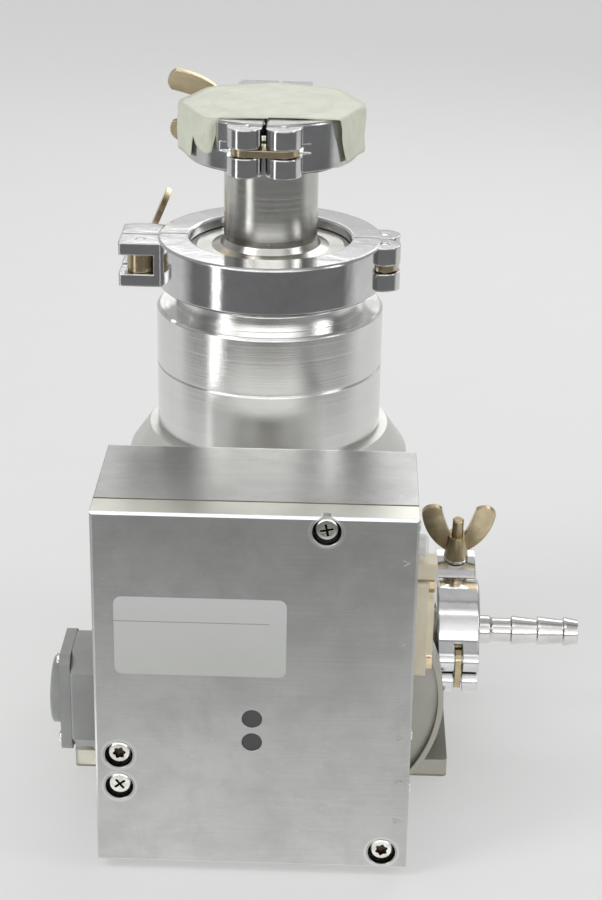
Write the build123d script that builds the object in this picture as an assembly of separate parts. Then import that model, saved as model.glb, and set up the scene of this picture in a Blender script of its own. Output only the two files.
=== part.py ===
"""Turbomolecular pump with its drive unit, inlet reducer, blank flange and foreline hose barb.

Millimetres, +Z up. The origin is on the floor, on the rotor axis. -Y is the side with the drive
unit, +X is the side with the foreline port. Every node is one STEP file in parts/.
"""
import os
from dataclasses import dataclass
from math import cos, pi, radians, sin, tan

from build123d import *

# ------------------------------------------------------------------ general clearances and fits
running_clearance = 0.05     # radial, shaft in a bore that turns
free_clearance = 0.30        # between pieces of different bodies
seat_clearance = 0.20        # between a loose piece and its seat
fit_clearance = 0.10         # between fixed pieces that are only slid together

# ------------------------------------------------------------------ base casting
foot_thickness = 8.0
foot_width = 158.0
foot_depth = 104.0
foot_corner = 2.0
foot_hole_radius = 2.6       # core hole of the M6 thread
foot_hole_depth = 14.0
foot_hole_x = foot_width / 2 - 19.0
foot_hole_y = foot_depth / 2 - 16.0
pedestal_inset = 8.0
pedestal_width = foot_width - 2 * pedestal_inset
pedestal_depth = foot_depth - 14.0
pedestal_height = 60.0
plinth_inset = 3.0           # low block between the foot and the pedestal
plinth_height = 19.0
pedestal_corner = 16.0
base_radius = 58.5
base_wall_bottom = 20.0
base_wall_top = 129.0
shoulder_radius = 50.0
shoulder_top = 141.0
shoulder_blend = 5.0
drive_flange_half = 75.6     # half width of the round-ended flange that carries the drive unit
drive_flange_end_radius = 57.0
drive_flange_centre_z = 42.0
drive_flange_front = 63.4    # distance of the lip's front face from the rotor axis
drive_flange_depth = 12.0
drive_lip_width = 2.3
drive_lip_height = 3.0

# ------------------------------------------------------------------ pump housing
housing_radius = 46.5
housing_wall = 5.0
housing_bore = housing_radius - housing_wall
housing_height = 52.0
housing_roof = 6.0
housing_chamfer = 1.0
groove_drop = 24.4           # top of the housing to the turned joint line
groove_width = 1.0
groove_depth = 0.6
foot_step = 1.4              # dark relief where the housing meets the shoulder
neck_radius = 38.5
neck_height = 7.0
inlet_bore = 29.0

# ------------------------------------------------------------------ small flanges and clamps
flange_rim = 2.6             # cylindrical rim of each flange
taper_angle = 15.0           # taper on the back of each flange
joint_gap = 2.6              # between two flange faces, filled by the O-ring
register_depth = 3.0
centring_wall = 1.6
oring_width = 4.2
clamp_split_gap = 1.6        # between the two halves of a clamp
clamp_groove_clearance = 0.5 # radial, between a flange's rim and the clamp's groove
clamp_lip_overlap = 4.6      # how far the clamp reaches inside the flange's rim
link_slot = 3.6
link_thickness = 2.8
pin_radius = 1.9
washer_thickness = 1.2
wing_thickness = 2.5
nut_shoulder = 2.9           # hub's foot and washer, beyond the bolt's radius

large_flange_radius = 37.5
large_neck_radius = 30.0
large_register = 26.1
large_ring_radius = 46.0
large_clamp_height = 19.4
large_hinge_reach = 46.5
large_knuckle = 6.5
large_bolt_reach = 52.5
large_lug_end = 61.0
large_lug_thickness = 15.0
large_bolt_radius = 3.0
inlet_nut_turn = 115.0       # degrees that each nut's wings stand at
top_nut_turn = 75.0
port_nut_turn = 90.0
large_nut_height = 27.0
large_nut_half_span = 19.5

middle_flange_radius = 27.5
tube_radius = 19.05
tube_wall = 1.65
middle_register = 20.6
middle_ring_radius = 34.5
middle_clamp_height = 20.0
middle_hinge_reach = 35.5
middle_knuckle = 7.0
middle_bolt_reach = 36.5
middle_lug_end = 44.5
middle_lug_thickness = 17.0
middle_bolt_radius = 3.0
middle_nut_height = 27.0
middle_nut_half_span = 16.5
middle_clamp_turn = 2.3      # degrees, hinge turned a little off the front

small_flange_radius = 15.0
small_neck_radius = 9.4
small_register = 8.6
small_ring_radius = 22.5
small_clamp_height = 18.4
small_hinge_reach = 25.5
small_knuckle = 5.4
small_bolt_reach = 29.0
small_lug_end = 35.5
small_lug_thickness = 16.5
small_bolt_radius = 2.5
small_nut_height = 27.5
small_nut_half_span = 16.5
small_clamp_tilt = 15.0      # degrees, hinge turned below the horizontal

nipple_height = 53.8         # joint plane to joint plane
blank_thickness = 5.0
film_thickness = 0.6
film_fold_radius = 9.0
film_skirt = 19.0
film_front_x = 21.0          # the film's skirt starts this far from the middle, in front
film_front_y = 24.5          # the film's front edge, where it lies on the clamp
film_back_x = 26.0
film_back_y = 27.0
film_side_y = 8.0

# ------------------------------------------------------------------ foreline port and hose barb
port_height = 43.5
port_reach = 83.2            # rotor axis to the port's joint plane
foreline_bore = 8.0
barb_reach = 136.4           # rotor axis to the barb's open end
barb_root = 5.3
barb_crest = 6.3
barb_bore = 3.5
barb_pitch = 11.4
barb_tip = 6.6               # last crest to the open end
barb_count = 3
barb_hub_radius = 6.3
barb_hub_length = 9.0

# ------------------------------------------------------------------ rotor, stators and motor
stage_count = 5
stage_pitch = 8.6
first_stage_z = 182.5
rotor_blade_height = 4.6
stator_blade_height = 2.6
rotor_blades = 24
stator_blades = 20
blade_thickness = 0.9
rotor_blade_angle = 40.0
stator_blade_angle = 35.0
rotor_hub_radius = 22.0
blade_tip_gap = 0.8
hub_gap = 0.8
stator_rim = 2.6
drag_sleeve = 5.3            # wall of the drag stage's stator
drag_wall = 2.0
drag_bottom = 116.0
drag_gap = 0.7
drag_radius = housing_bore - drag_sleeve - drag_gap
drag_thread_depth = 2.2
drag_threads = 8
shaft_radius = 5.0
shaft_bottom = 52.0
motor_bottom = 74.0
motor_top = 106.0
magnet_radius = 13.5
motor_gap = 0.8
motor_radius = 30.0
motor_slot_depth = 5.8
bearing_z = 60.0
bearing_width = 7.0
bearing_outer = 11.0
bearing_ball = 1.75
bearing_balls = 9
upper_stem_radius = 4.0
upper_bearing_bore = 7.0
upper_bearing_length = 16.0
reservoir_radius = 17.0
reservoir_height = 30.0
reservoir_cover_radius = 21.0
wick_bore = 4.0
cover_recess = 0.6           # cover above the floor

# ------------------------------------------------------------------ drive unit
drive_width = 120.4
drive_height = 149.6
drive_depth = 63.4
drive_bottom = 4.4
drive_top = drive_bottom + drive_height
drive_front = 127.4          # distance of the front face from the rotor axis
cover_depth = 12.0
gasket_thickness = 1.0
drive_wall = 2.5
drive_edge = 0.9
label_width = 64.4
label_height = 32.3
label_thickness = 0.3
label_corner = 3.0
label_x = 8.2 - drive_width / 2 + label_width / 2
label_z = drive_top - 50.2
screw_recess_radius = 5.9
screw_well_wall = 0.8
screw_head_radius = 4.7
screw_head_height = 2.4
screw_head_drop = 1.8        # top of each head below the cover's face
cover_screw_radius = 2.0
screw_inset = 9.0            # two screws near the left edge, one near the right
upper_screw_x = 26.5
screw_positions = (
    (upper_screw_x, drive_top - 5.8),
    (screw_inset - drive_width / 2, drive_bottom + 47.5),
    (screw_inset - drive_width / 2, drive_bottom + 33.7),
    (drive_width / 2 - screw_inset - 0.7, drive_bottom + 7.0),
)
led_radius = 3.9
led_pitch = 10.1
led_height = drive_bottom + 54.9
led_positions = ((-0.3, led_height + led_pitch), (-0.3, led_height))
power_z = drive_bottom + 59.6
power_y = -98.0
power_height = 43.0
power_width = 30.0
power_block = 11.0
power_flange = 4.2
power_disc = 4.0
power_disc_radius = 13.5
power_corner = 7.0
power_screw_inset = 4.2
power_screw_radius = 2.2
data_z = drive_top - 59.4
data_y = -94.0
data_height = 40.0
data_width = 12.5
data_flange = 5.6
data_shell_height = 25.0
data_shell_width = 8.4
data_shell_reach = 2.4
data_jack_spacing = 33.3
jack_radius = 2.8
jack_length = 2.6
jack_bore = 1.3
serial_z = data_z + 24.6
serial_size = 7.0
serial_reach = 8.6
sensor_z = data_z + 33.8
sensor_radius = 4.2
side_screw_radius = 2.4
side_screw_spots = (         # wall (+1 right, -1 left), y, z
    (1, data_y, drive_top - 17.5), (1, data_y, drive_bottom + 40.6), (1, data_y, drive_bottom + 16.6),
    (-1, power_y - 6.0, power_z + 33.0), (-1, power_y - 6.0, power_z - 26.0),
)
mark_x = drive_width / 2 - 5.6   # small raised triangles on the cover
mark_size = 2.8
mark_heights = [drive_top - drop for drop in (17.6, 51.0, 75.5, 91.4, 110.4, 128.2)]
board_half_width = 46.0
board_thickness = 1.6
board_standoff = 14.0
board_margin = 22.0
board_post_x = 40.0

os.makedirs("parts", exist_ok=True)


@dataclass
class ClampSize:
    """One size of small-flange clamp; see the driving dimensions above."""

    flange_radius: float
    ring_radius: float
    height: float
    hinge_reach: float
    knuckle: float
    bolt_reach: float
    lug_end: float
    lug_thickness: float
    bolt_radius: float
    nut_height: float
    nut_half_span: float

    @property
    def pin_offset(self):
        """Distance of each hinge pin from the split plane."""
        return self.knuckle + clamp_split_gap / 4

    @property
    def pivot_offset(self):
        """Distance of the swing bolt's pivot from the split plane."""
        return self.eye_radius + clamp_split_gap

    @property
    def link_end(self):
        """Radius of the link plate's round ends."""
        return self.knuckle - 1.4

    @property
    def eye_radius(self):
        return self.bolt_radius + 2.4

    @property
    def eye_thickness(self):
        return 2 * self.bolt_radius + 1.6

    @property
    def seat_radius(self):
        """Radius of the nut's seat, centred on the swing bolt's pivot."""
        return self.pivot_offset + self.lug_thickness


large = ClampSize(
    large_flange_radius, large_ring_radius, large_clamp_height, large_hinge_reach,
    large_knuckle, large_bolt_reach, large_lug_end, large_lug_thickness,
    large_bolt_radius, large_nut_height, large_nut_half_span,
)
middle = ClampSize(
    middle_flange_radius, middle_ring_radius, middle_clamp_height, middle_hinge_reach,
    middle_knuckle, middle_bolt_reach, middle_lug_end, middle_lug_thickness,
    middle_bolt_radius, middle_nut_height, middle_nut_half_span,
)
small = ClampSize(
    small_flange_radius, small_ring_radius, small_clamp_height, small_hinge_reach,
    small_knuckle, small_bolt_reach, small_lug_end, small_lug_thickness,
    small_bolt_radius, small_nut_height, small_nut_half_span,
)

housing_top = shoulder_top + housing_height
inlet_joint_z = (housing_top + neck_height + 2.0 + large_clamp_height / 2)
blank_joint_z = inlet_joint_z + nipple_height
cover_front_y = -drive_front
seam_y = cover_front_y + cover_depth
shell_front_y = seam_y + gasket_thickness
drive_back_y = cover_front_y + drive_depth
drive_side_x = drive_width / 2


def turned(points):
    """Solid of revolution about Z from (radius, height) points."""
    outline = Polyline(*[(r, 0, z) for r, z in points], close=True)
    return revolve(make_face(outline), Axis.Z, 360)


def upright(radius, z0, z1, x=0.0, y=0.0):
    """Cylinder along Z between two heights."""
    return Pos(x, y, (z0 + z1) / 2) * Cylinder(radius, z1 - z0)


def tube(outer, inner, z0, z1):
    """Plain ring along Z between two heights."""
    return upright(outer, z0, z1) - upright(inner, z0 - 1, z1 + 1)


def block(x0, x1, y0, y1, z0, z1):
    """Box between two corners."""
    centre = Pos((x0 + x1) / 2, (y0 + y1) / 2, (z0 + z1) / 2)
    return centre * Box(x1 - x0, y1 - y0, z1 - z0)


def taper_rise(radius, flange_radius):
    """Axial growth of a flange's back face from its rim inwards to a radius."""
    return (flange_radius - radius) * tan(radians(taper_angle))


# ================================================================== flanges and their seals
def flange(flange_radius, neck, bore, register, neck_length):
    """Flange whose sealing face is at z = 0 and whose neck runs down to z = -neck_length."""
    back = flange_rim + taper_rise(neck, flange_radius)
    return turned([
        (register, 0),
        (flange_radius, 0),
        (flange_radius, -flange_rim),
        (neck, -back),
        (neck, -neck_length),
        (bore, -neck_length),
        (bore, -register_depth),
        (register, -register_depth),
    ])


def centring_ring(register):
    """Metal ring that centres two flanges; its middle web stands between their faces."""
    outer = register - fit_clearance
    reach = joint_gap / 2 + register_depth - seat_clearance
    body = tube(outer, outer - centring_wall, -reach, reach)
    return body + tube(outer + 1.0, outer - centring_wall, -joint_gap / 2, joint_gap / 2)


def oring(register):
    """Elastomer ring squeezed between the two flange faces, outside the centring ring."""
    inner = register - fit_clearance + 1.0
    section = RectangleRounded(oring_width, joint_gap, joint_gap / 2 - 0.1)
    placed = Plane.XZ * (Pos(inner + oring_width / 2, 0) * section)
    return revolve(placed, Axis.Z, 360)


# ================================================================== clamps
def clamp_ring(size):
    """Closed ring with the tapered groove that draws the two flanges together."""
    half = size.height / 2
    groove = size.flange_radius + clamp_groove_clearance
    lip = size.flange_radius - clamp_lip_overlap
    rim_half = joint_gap / 2 + flange_rim + free_clearance
    lip_half = rim_half + taper_rise(lip, size.flange_radius)
    edge = 0.8
    return turned([
        (lip, half - edge), (lip + edge, half), (size.ring_radius - edge, half),
        (size.ring_radius, half - edge), (size.ring_radius, edge - half),
        (size.ring_radius - edge, -half), (lip + edge, -half), (lip, edge - half),
        (lip, -lip_half), (groove, -rim_half), (groove, rim_half), (lip, lip_half),
    ])


def rounded_slab(x0, x1, y0, y1, height, corner):
    """Upright slab with rounded vertical corners, centred on z = 0."""
    outline = RectangleRounded(x1 - x0, y1 - y0, corner)
    slab = extrude(Pos((x0 + x1) / 2, (y0 + y1) / 2) * outline, height / 2, both=True)
    return slab


def clamp_half(size, side):
    """One half of a clamp. side is -1 for the half with the bolt's pivot, +1 for the other.

    Clamp frame: axis +Z, hinge at +X, bolt at -X, the halves part at y = 0.
    """
    gap = clamp_split_gap / 2
    far = 2 * size.lug_end
    groove = size.flange_radius + clamp_groove_clearance
    inside = groove + 1.5
    height = size.height - 1.2
    pin_y = side * size.pin_offset
    outer_y = side * (size.pin_offset + size.knuckle)
    # hinge knuckle, rounded about its pin
    body = clamp_ring(size)
    body += Pos(size.hinge_reach, pin_y) * Cylinder(size.knuckle, height)
    arm = sorted((side * gap, outer_y))
    body += block(inside, size.hinge_reach, arm[0], arm[1], -height / 2, height / 2)
    # lug at the bolt
    if side < 0:
        lug_y = (-size.pivot_offset - size.eye_radius - 1.2, -gap)
        lug = rounded_slab(-size.lug_end, -inside, lug_y[0], lug_y[1], height, 1.2)
        slot = size.eye_thickness + 2 * seat_clearance
        slot_root = size.bolt_reach - size.eye_radius - free_clearance
    else:
        lug_y = (gap, size.seat_radius + 2.0)
        lug = block(-size.lug_end, -inside, lug_y[0], lug_y[1], -height / 2, height / 2)
        seat = Cylinder(size.seat_radius, height)
        lug &= Pos(-size.bolt_reach, -size.pivot_offset) * seat
        slot = 2 * (size.bolt_radius + 0.5)
        slot_root = size.bolt_reach - size.bolt_radius - 0.5
    body += lug
    body -= block(-far, -slot_root, min(lug_y) - 1, max(lug_y) + 1, -slot / 2, slot / 2)
    # the other half's side, the flanges' room and the slot for the link
    body -= block(-far, far, *sorted((side * gap, -side * far)), -far, far)
    body -= Cylinder(groove, 2 * (joint_gap / 2 + flange_rim + free_clearance))
    body -= Cylinder(size.flange_radius - clamp_lip_overlap, 2 * size.height)
    slot_y = size.pin_offset + size.knuckle + 4.0
    slot_x = size.hinge_reach - size.link_end - free_clearance
    body -= block(slot_x, far, -slot_y, slot_y, -link_slot / 2, link_slot / 2)
    # holes for the hinge pin and, on the bolt's half, for its pivot
    hole = pin_radius + (running_clearance if side > 0 else 0.02)
    body -= Pos(size.hinge_reach, pin_y) * Cylinder(hole, size.height + 2)
    if side < 0:
        body -= Pos(-size.bolt_reach, -size.pivot_offset) * Cylinder(pin_radius + 0.02, far)
    return body


def clamp_link(size):
    """Link plate that joins the two halves, in the slot between their knuckles."""
    offset = size.pin_offset
    outline = SlotCenterToCenter(2 * offset, 2 * size.link_end, rotation=90)
    outline = Pos(size.hinge_reach, 0) * outline
    for y in (-offset, offset):
        outline -= Pos(size.hinge_reach, y) * Circle(pin_radius + running_clearance)
    return extrude(outline, link_thickness / 2, both=True)


def clamp_pins(size):
    """The two hinge pins and the swing bolt's pivot pin."""
    length = size.height - 1.2 - 0.4
    pins = []
    for y in (-size.pin_offset, size.pin_offset):
        pins.append(Pos(size.hinge_reach, y) * Cylinder(pin_radius, length))
    pins.append(Pos(-size.bolt_reach, -size.pivot_offset) * Cylinder(pin_radius, length))
    return pins


def swing_bolt(size):
    """Eye bolt that turns about its pivot pin; its shank runs along +Y."""
    reach = size.seat_radius + size.nut_height * 0.8
    eye = Cylinder(size.eye_radius, size.eye_thickness)
    tip = Cylinder(size.bolt_radius, reach)
    tip = chamfer(tip.edges().filter_by(GeomType.CIRCLE).sort_by(Axis.Z)[-1], 0.6)
    shank = Rot(-90, 0, 0) * (Pos(0, 0, reach / 2) * tip)
    body = eye + shank - Cylinder(pin_radius + running_clearance, size.eye_thickness + 1)
    return Pos(-size.bolt_reach, -size.pivot_offset) * body


def wing_outline(height, half_span):
    """Profile of one wing, in (distance from the nut's axis, height above its seat)."""
    outer = Spline((3.2, 2.6), (0.46 * half_span, 0.21 * height),
                   (0.79 * half_span, 0.48 * height), (0.98 * half_span, 0.88 * height))
    inner = Spline((0.46 * half_span, 0.96 * height), (0.30 * half_span, 0.62 * height),
                   (2.2, 0.36 * height))
    crown = ThreePointArc(outer @ 1, (0.78 * half_span, height), inner @ 0)
    root = Line(inner @ 1, outer @ 0)
    return make_face([outer, crown, inner, root])


def wing_nut(size, turn):
    """Wing nut standing on its seat, axis +Y, its wings turned about the axis by turn degrees."""
    hub_height = 0.44 * size.nut_height
    hub = Cone(size.bolt_radius + nut_shoulder, size.bolt_radius + 1.7, hub_height)
    nut = Pos(0, 0, hub_height / 2) * hub
    wing = extrude(wing_outline(size.nut_height, size.nut_half_span), wing_thickness / 2, both=True)
    wing = Rot(90, 0, 0) * wing
    nut += wing
    nut += Rot(0, 0, 180) * wing
    bore = size.bolt_radius + 1.5 * running_clearance
    nut -= Cylinder(bore, 3 * size.nut_height)
    nut = Rot(0, 0, turn) * nut
    seat = size.seat_radius + seat_clearance + washer_thickness + seat_clearance / 2
    return Pos(-size.bolt_reach, seat - size.pivot_offset) * (Rot(-90, 0, 0) * nut)


def washer(size):
    """Thrust washer between the wing nut and the lug."""
    ring = Cylinder(size.bolt_radius + nut_shoulder, washer_thickness)
    ring -= Cylinder(size.bolt_radius + 1.5 * running_clearance, washer_thickness + 1)
    y = size.seat_radius + seat_clearance + washer_thickness / 2 - size.pivot_offset
    return Pos(-size.bolt_reach, y) * (Rot(-90, 0, 0) * ring)


# ================================================================== base casting and housing
def drive_flange_outline(inset):
    """Round-ended outline of the drive flange in the XZ plane, drawn in (x, z)."""
    radius = drive_flange_end_radius - inset
    centre = drive_flange_half - drive_flange_end_radius
    ends = Pos(-centre, drive_flange_centre_z) * Circle(radius)
    ends += Pos(centre, drive_flange_centre_z) * Circle(radius)
    ends += Pos(0, drive_flange_centre_z) * Rectangle(2 * centre, 2 * radius)
    floor = foot_thickness - 0.5
    keep = Pos(0, floor + 200) * Rectangle(400, 400)
    return ends & keep


def toward_front(outline, y0, depth):
    """Extrude an (x, z) outline along Y, from y0 back to y0 + depth."""
    sheet = Plane(origin=(0, y0 + depth, 0), x_dir=(1, 0, 0), z_dir=(0, -1, 0)) * outline
    return extrude(sheet, depth)


def base_casting():
    """Foot, pedestal, round wall with its sloping shoulder, drive flange and foreline port."""
    foot = extrude(RectangleRounded(foot_width, foot_depth, foot_corner), foot_thickness)
    plinth = RectangleRounded(foot_width - 2 * plinth_inset, pedestal_depth, pedestal_corner)
    foot += extrude(plinth, plinth_height)
    pedestal = extrude(
        RectangleRounded(pedestal_width, pedestal_depth, pedestal_corner), pedestal_height)
    pedestal = fillet(pedestal.edges().group_by(Axis.Z)[-1], 9.0)
    wall = turned([
        (0, base_wall_bottom), (base_radius, base_wall_bottom), (base_radius, base_wall_top),
        (shoulder_radius, shoulder_top), (0, shoulder_top),
    ])
    rings = wall.edges().filter_by(GeomType.CIRCLE)
    wall = fillet(rings.filter_by(lambda e: abs(e.center().Z - base_wall_top) < 0.1),
                  shoulder_blend)
    body = foot + pedestal + wall
    front = -drive_flange_front
    body += toward_front(drive_flange_outline(0), front, drive_flange_depth)
    neck = small_neck_radius
    joint_x = port_reach - joint_gap / 2
    port = flange(small_flange_radius, neck, foreline_bore, small_register, joint_x)
    body += port_plane(joint_x) * port
    # hollow side
    body -= toward_front(drive_flange_outline(drive_lip_width), front - 1, drive_lip_height + 1)
    body -= port_plane(joint_x) * upright(foreline_bore, -joint_x, 1)
    body -= port_plane(joint_x) * upright(small_register, -register_depth, 1)
    body -= upright(housing_bore + 0.5, drag_bottom - 4, shoulder_top + 1)
    body -= upright(motor_radius + fit_clearance, motor_bottom - 4, drag_bottom)
    body -= upright(bearing_outer + 0.02, bearing_z - bearing_width, motor_bottom)
    body -= upright(reservoir_radius + fit_clearance, -1, bearing_z - bearing_width)
    body -= upright(reservoir_cover_radius + fit_clearance, -1, foot_thickness)
    body -= foot_holes()
    return body


def port_plane(x):
    """Plane that carries a flange drawn along +Z over to the foreline port, facing +X."""
    return Plane(origin=(x, 0, port_height), x_dir=(0, 1, 0), z_dir=(1, 0, 0)).location


def foot_holes():
    """Four blind upright holes in the underside, for screws from below."""
    holes = []
    for x in (-foot_hole_x, foot_hole_x):
        for y in (-foot_hole_y, foot_hole_y):
            holes.append(upright(foot_hole_radius, -1, foot_hole_depth, x, y))
    return holes


def pump_housing():
    """Turned housing: bored tube, roof, neck and the large inlet flange in one piece."""
    floor = shoulder_top
    roof = housing_top - housing_roof
    groove_z = housing_top - groove_drop
    face = inlet_joint_z - joint_gap / 2
    back = face - flange_rim - taper_rise(large_neck_radius, large_flange_radius)
    neck_top = housing_top + neck_height
    step = foot_step
    return turned([
        (housing_bore, floor - 3.0), (housing_bore + 0.4, floor - 3.0),
        (housing_bore + 0.4, floor), (housing_radius - step, floor),
        (housing_radius - step, floor + step), (housing_radius, floor + step + 0.4),
        (housing_radius, groove_z - groove_width / 2),
        (housing_radius - groove_depth, groove_z),
        (housing_radius, groove_z + groove_width / 2),
        (housing_radius, housing_top - housing_chamfer),
        (housing_radius - housing_chamfer, housing_top),
        (neck_radius, housing_top), (neck_radius, neck_top - 1.0),
        (neck_radius - 1.0, neck_top), (large_neck_radius, neck_top),
        (large_neck_radius, back), (large_flange_radius, face - flange_rim),
        (large_flange_radius, face), (large_register, face),
        (large_register, face - register_depth), (inlet_bore - 4, face - register_depth),
        (inlet_bore - 4, roof + 6), (inlet_bore + 6, roof),
        (housing_bore, roof),
    ])


# ================================================================== rotor and stators
def stage_z(index):
    return first_stage_z - index * stage_pitch


def blade_row(count, inner, outer, height, angle, z):
    """Ring of flat blades, each pitched about its own radial line."""
    pitch = radians(abs(angle))
    chord = (height - blade_thickness * cos(pitch)) / sin(pitch)
    blade = Box(outer - inner, blade_thickness, chord)
    blade = Pos((inner + outer) / 2, 0, z) * (Rot(90 - angle, 0, 0) * blade)
    return [Rot(0, 0, 360 * i / count) * blade for i in range(count)]


blade_tip = housing_bore - stator_rim - blade_tip_gap


def rotor():
    """Hub with its bladed stages, web and drag sleeve, bored for the shaft and upper bearing."""
    top = stage_z(0) + rotor_blade_height / 2 + 1.5
    web = shoulder_top - 2.0
    body = turned([
        (0, web), (drag_radius, web), (drag_radius, drag_bottom),
        (drag_radius - drag_wall, drag_bottom), (drag_radius - drag_wall, web - 4.0),
        (shaft_radius + 4.0, web - 6.0), (shaft_radius + 4.0, web - 12.0), (0, web - 12.0),
    ])
    hub = turned([
        (0, web - 1), (rotor_hub_radius + 2.0, web - 1), (rotor_hub_radius, web + 6.0),
        (rotor_hub_radius, top - 3.0), (rotor_hub_radius - 3.0, top), (0, top),
    ])
    body += hub
    blades = []
    for i in range(stage_count):
        blades += blade_row(rotor_blades, rotor_hub_radius - 1.0, blade_tip,
                            rotor_blade_height, rotor_blade_angle, stage_z(i))
    body += blades
    body -= upright(upper_bearing_bore, top - upper_bearing_length, top + 1)
    body -= upright(shaft_radius + 0.01, web - 20, top - upper_bearing_length - 6.0)
    return body


def stator_disc(index):
    """Stator stage between two rotor stages: inner ring, pitched blades and outer rim."""
    z = stage_z(index) - stage_pitch / 2
    inner = rotor_hub_radius + hub_gap
    half = stator_blade_height / 2
    rim_inner = housing_bore - stator_rim
    body = tube(housing_bore - fit_clearance, rim_inner, z - half, z + half)
    body += tube(inner + 1.4, inner, z - half, z + half)
    body += blade_row(stator_blades, inner + 0.7, rim_inner + 0.8,
                      stator_blade_height, -stator_blade_angle, z)
    return body


def spacer_ring(index):
    """Plain ring that sets the distance between two stator stages."""
    half = stator_blade_height / 2
    top = stage_z(index) + stage_pitch / 2 - half
    bottom = stage_z(index) - stage_pitch / 2 + half
    if index == 0:
        top = housing_top - housing_roof - fit_clearance
    return tube(housing_bore - fit_clearance, housing_bore - stator_rim, bottom, top)


def drag_stator():
    """Sleeve round the rotor's drag stage, with pumping grooves inside."""
    inner = drag_radius + drag_gap
    top = shoulder_top - 3.0 - fit_clearance
    height = top - drag_bottom
    body = tube(housing_bore + 0.4, inner, drag_bottom, top)
    groove = Box(2 * drag_thread_depth, 3.4, height * 1.25)
    groove = Pos(inner, 0, drag_bottom + height / 2) * (Rot(32, 0, 0) * groove)
    for i in range(drag_threads):
        body -= Rot(0, 0, 360 * i / drag_threads) * groove
    return body


def rotor_shaft():
    """Stepped shaft pressed into the hub, running down through the motor to the ball bearing."""
    top = stage_z(0) + rotor_blade_height / 2 + 1.5 - upper_bearing_length - 6.0
    foot = bearing_z - bearing_width / 2 - 1.0
    return turned([
        (0, shaft_bottom), (1.2, shaft_bottom), (3.0, foot), (4.0, foot),
        (4.0, bearing_z + bearing_width / 2), (shaft_radius, bearing_z + bearing_width / 2),
        (shaft_radius, top), (0, top),
    ])


def ball_bearing():
    """Lower bearing: outer ring, inner ring and the balls between them."""
    low = bearing_z - bearing_width / 2
    high = bearing_z + bearing_width / 2
    pitch = (bearing_outer + 4.0) / 2
    race = Pos(0, 0, bearing_z) * Torus(pitch, bearing_ball + running_clearance)
    outer = tube(bearing_outer, pitch + bearing_ball * 0.55, low, high) - race
    inner = tube(pitch - bearing_ball * 0.55, 4.01, low, high) - race
    balls = []
    for i in range(bearing_balls):
        turn = Rot(0, 0, 360 * i / bearing_balls)
        balls.append(turn * (Pos(pitch, 0, bearing_z) * Sphere(bearing_ball)))
    return outer, inner, balls


def motor_stator():
    """Wound motor stator: laminated ring with slots and the two winding heads."""
    inner = magnet_radius + motor_gap
    core_low = motor_bottom + 6
    core_high = motor_top - 6
    body = tube(motor_radius, inner, core_low, core_high)
    slot = Pos(inner + motor_slot_depth / 2, 0, (core_low + core_high) / 2)
    slot *= Box(motor_slot_depth + 2.0, 2.2, motor_top - motor_bottom)
    for i in range(12):
        body -= Rot(0, 0, 30 * i) * slot
    body += tube(motor_radius - 3, inner + 4.5, motor_bottom, core_low)
    body += tube(motor_radius - 3, inner + 4.5, core_high, motor_top)
    return body


def upper_bearing_holder():
    """Three-armed spider in the inlet with the stem that carries the upper bearing magnets."""
    z = inlet_joint_z - joint_gap / 2 - register_depth - 9.0
    rim_outer = inlet_bore - 4 - fit_clearance
    body = tube(rim_outer, rim_outer - 2.4, z - 1.6, z + 1.6)
    for i in range(3):
        arm = block(0, rim_outer - 1.0, -1.6, 1.6, z - 1.4, z + 1.4)
        body += Rot(0, 0, 30 + 120 * i) * arm
    low = stage_z(0) - rotor_blade_height
    body += upright(7.0, z - 1.6, z + 2.4)
    body += upright(upper_stem_radius, low, z)
    return body


def magnet_stack():
    """Ring magnets on the stem, inside the hub's bore."""
    low = stage_z(0) - rotor_blade_height
    outer = upper_bearing_bore - 0.5
    return [tube(outer, upper_stem_radius, low + 2.5 * i, low + 2.5 * i + 2.4) for i in range(3)]


def splinter_screen():
    """Perforated disc that lies in the inlet above the spider."""
    z = inlet_joint_z - joint_gap / 2 - register_depth - 3.0
    disc = upright(inlet_bore - 4 - fit_clearance, z, z + 0.8)
    holes = []
    for ring, count in ((6.0, 6), (11.5, 12), (17.0, 18), (21.6, 24)):
        for i in range(count):
            angle = 2 * pi * i / count
            holes.append(upright(1.9, z - 1, z + 2, ring * cos(angle), ring * sin(angle)))
    return disc - holes


def oil_reservoir():
    """Felt wick that stands on the cover and surrounds the shaft's tip."""
    return tube(reservoir_radius, wick_bore, foot_thickness, foot_thickness + reservoir_height)


def reservoir_cover():
    """Screw-in disc with a wide slot, just above the floor."""
    disc = upright(reservoir_cover_radius, cover_recess, foot_thickness)
    return disc - block(-14, 14, -1.5, 1.5, 0, foot_thickness / 2)


# ================================================================== nipple, blank and film
def reducer_nipple():
    """Large flange, straight tube and middle flange turned and welded into one piece."""
    low = joint_gap / 2
    high = nipple_height - joint_gap / 2
    inner = tube_radius - tube_wall
    large_back = flange_rim + taper_rise(large_neck_radius, large_flange_radius)
    middle_back = flange_rim + taper_rise(tube_radius, middle_flange_radius)
    body = turned([
        (large_register, low), (large_flange_radius, low),
        (large_flange_radius, low + flange_rim), (large_neck_radius, low + large_back),
        (tube_radius + 5.0, low + large_back), (tube_radius + 1.4, low + large_back + 1.2),
        (tube_radius, low + large_back + 3.6), (tube_radius, high - middle_back),
        (middle_flange_radius, high - flange_rim), (middle_flange_radius, high),
        (middle_register, high), (middle_register, high - register_depth),
        (inner, high - register_depth), (inner, low + register_depth),
        (large_register, low + register_depth),
    ])
    return Pos(0, 0, inlet_joint_z) * body


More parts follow.
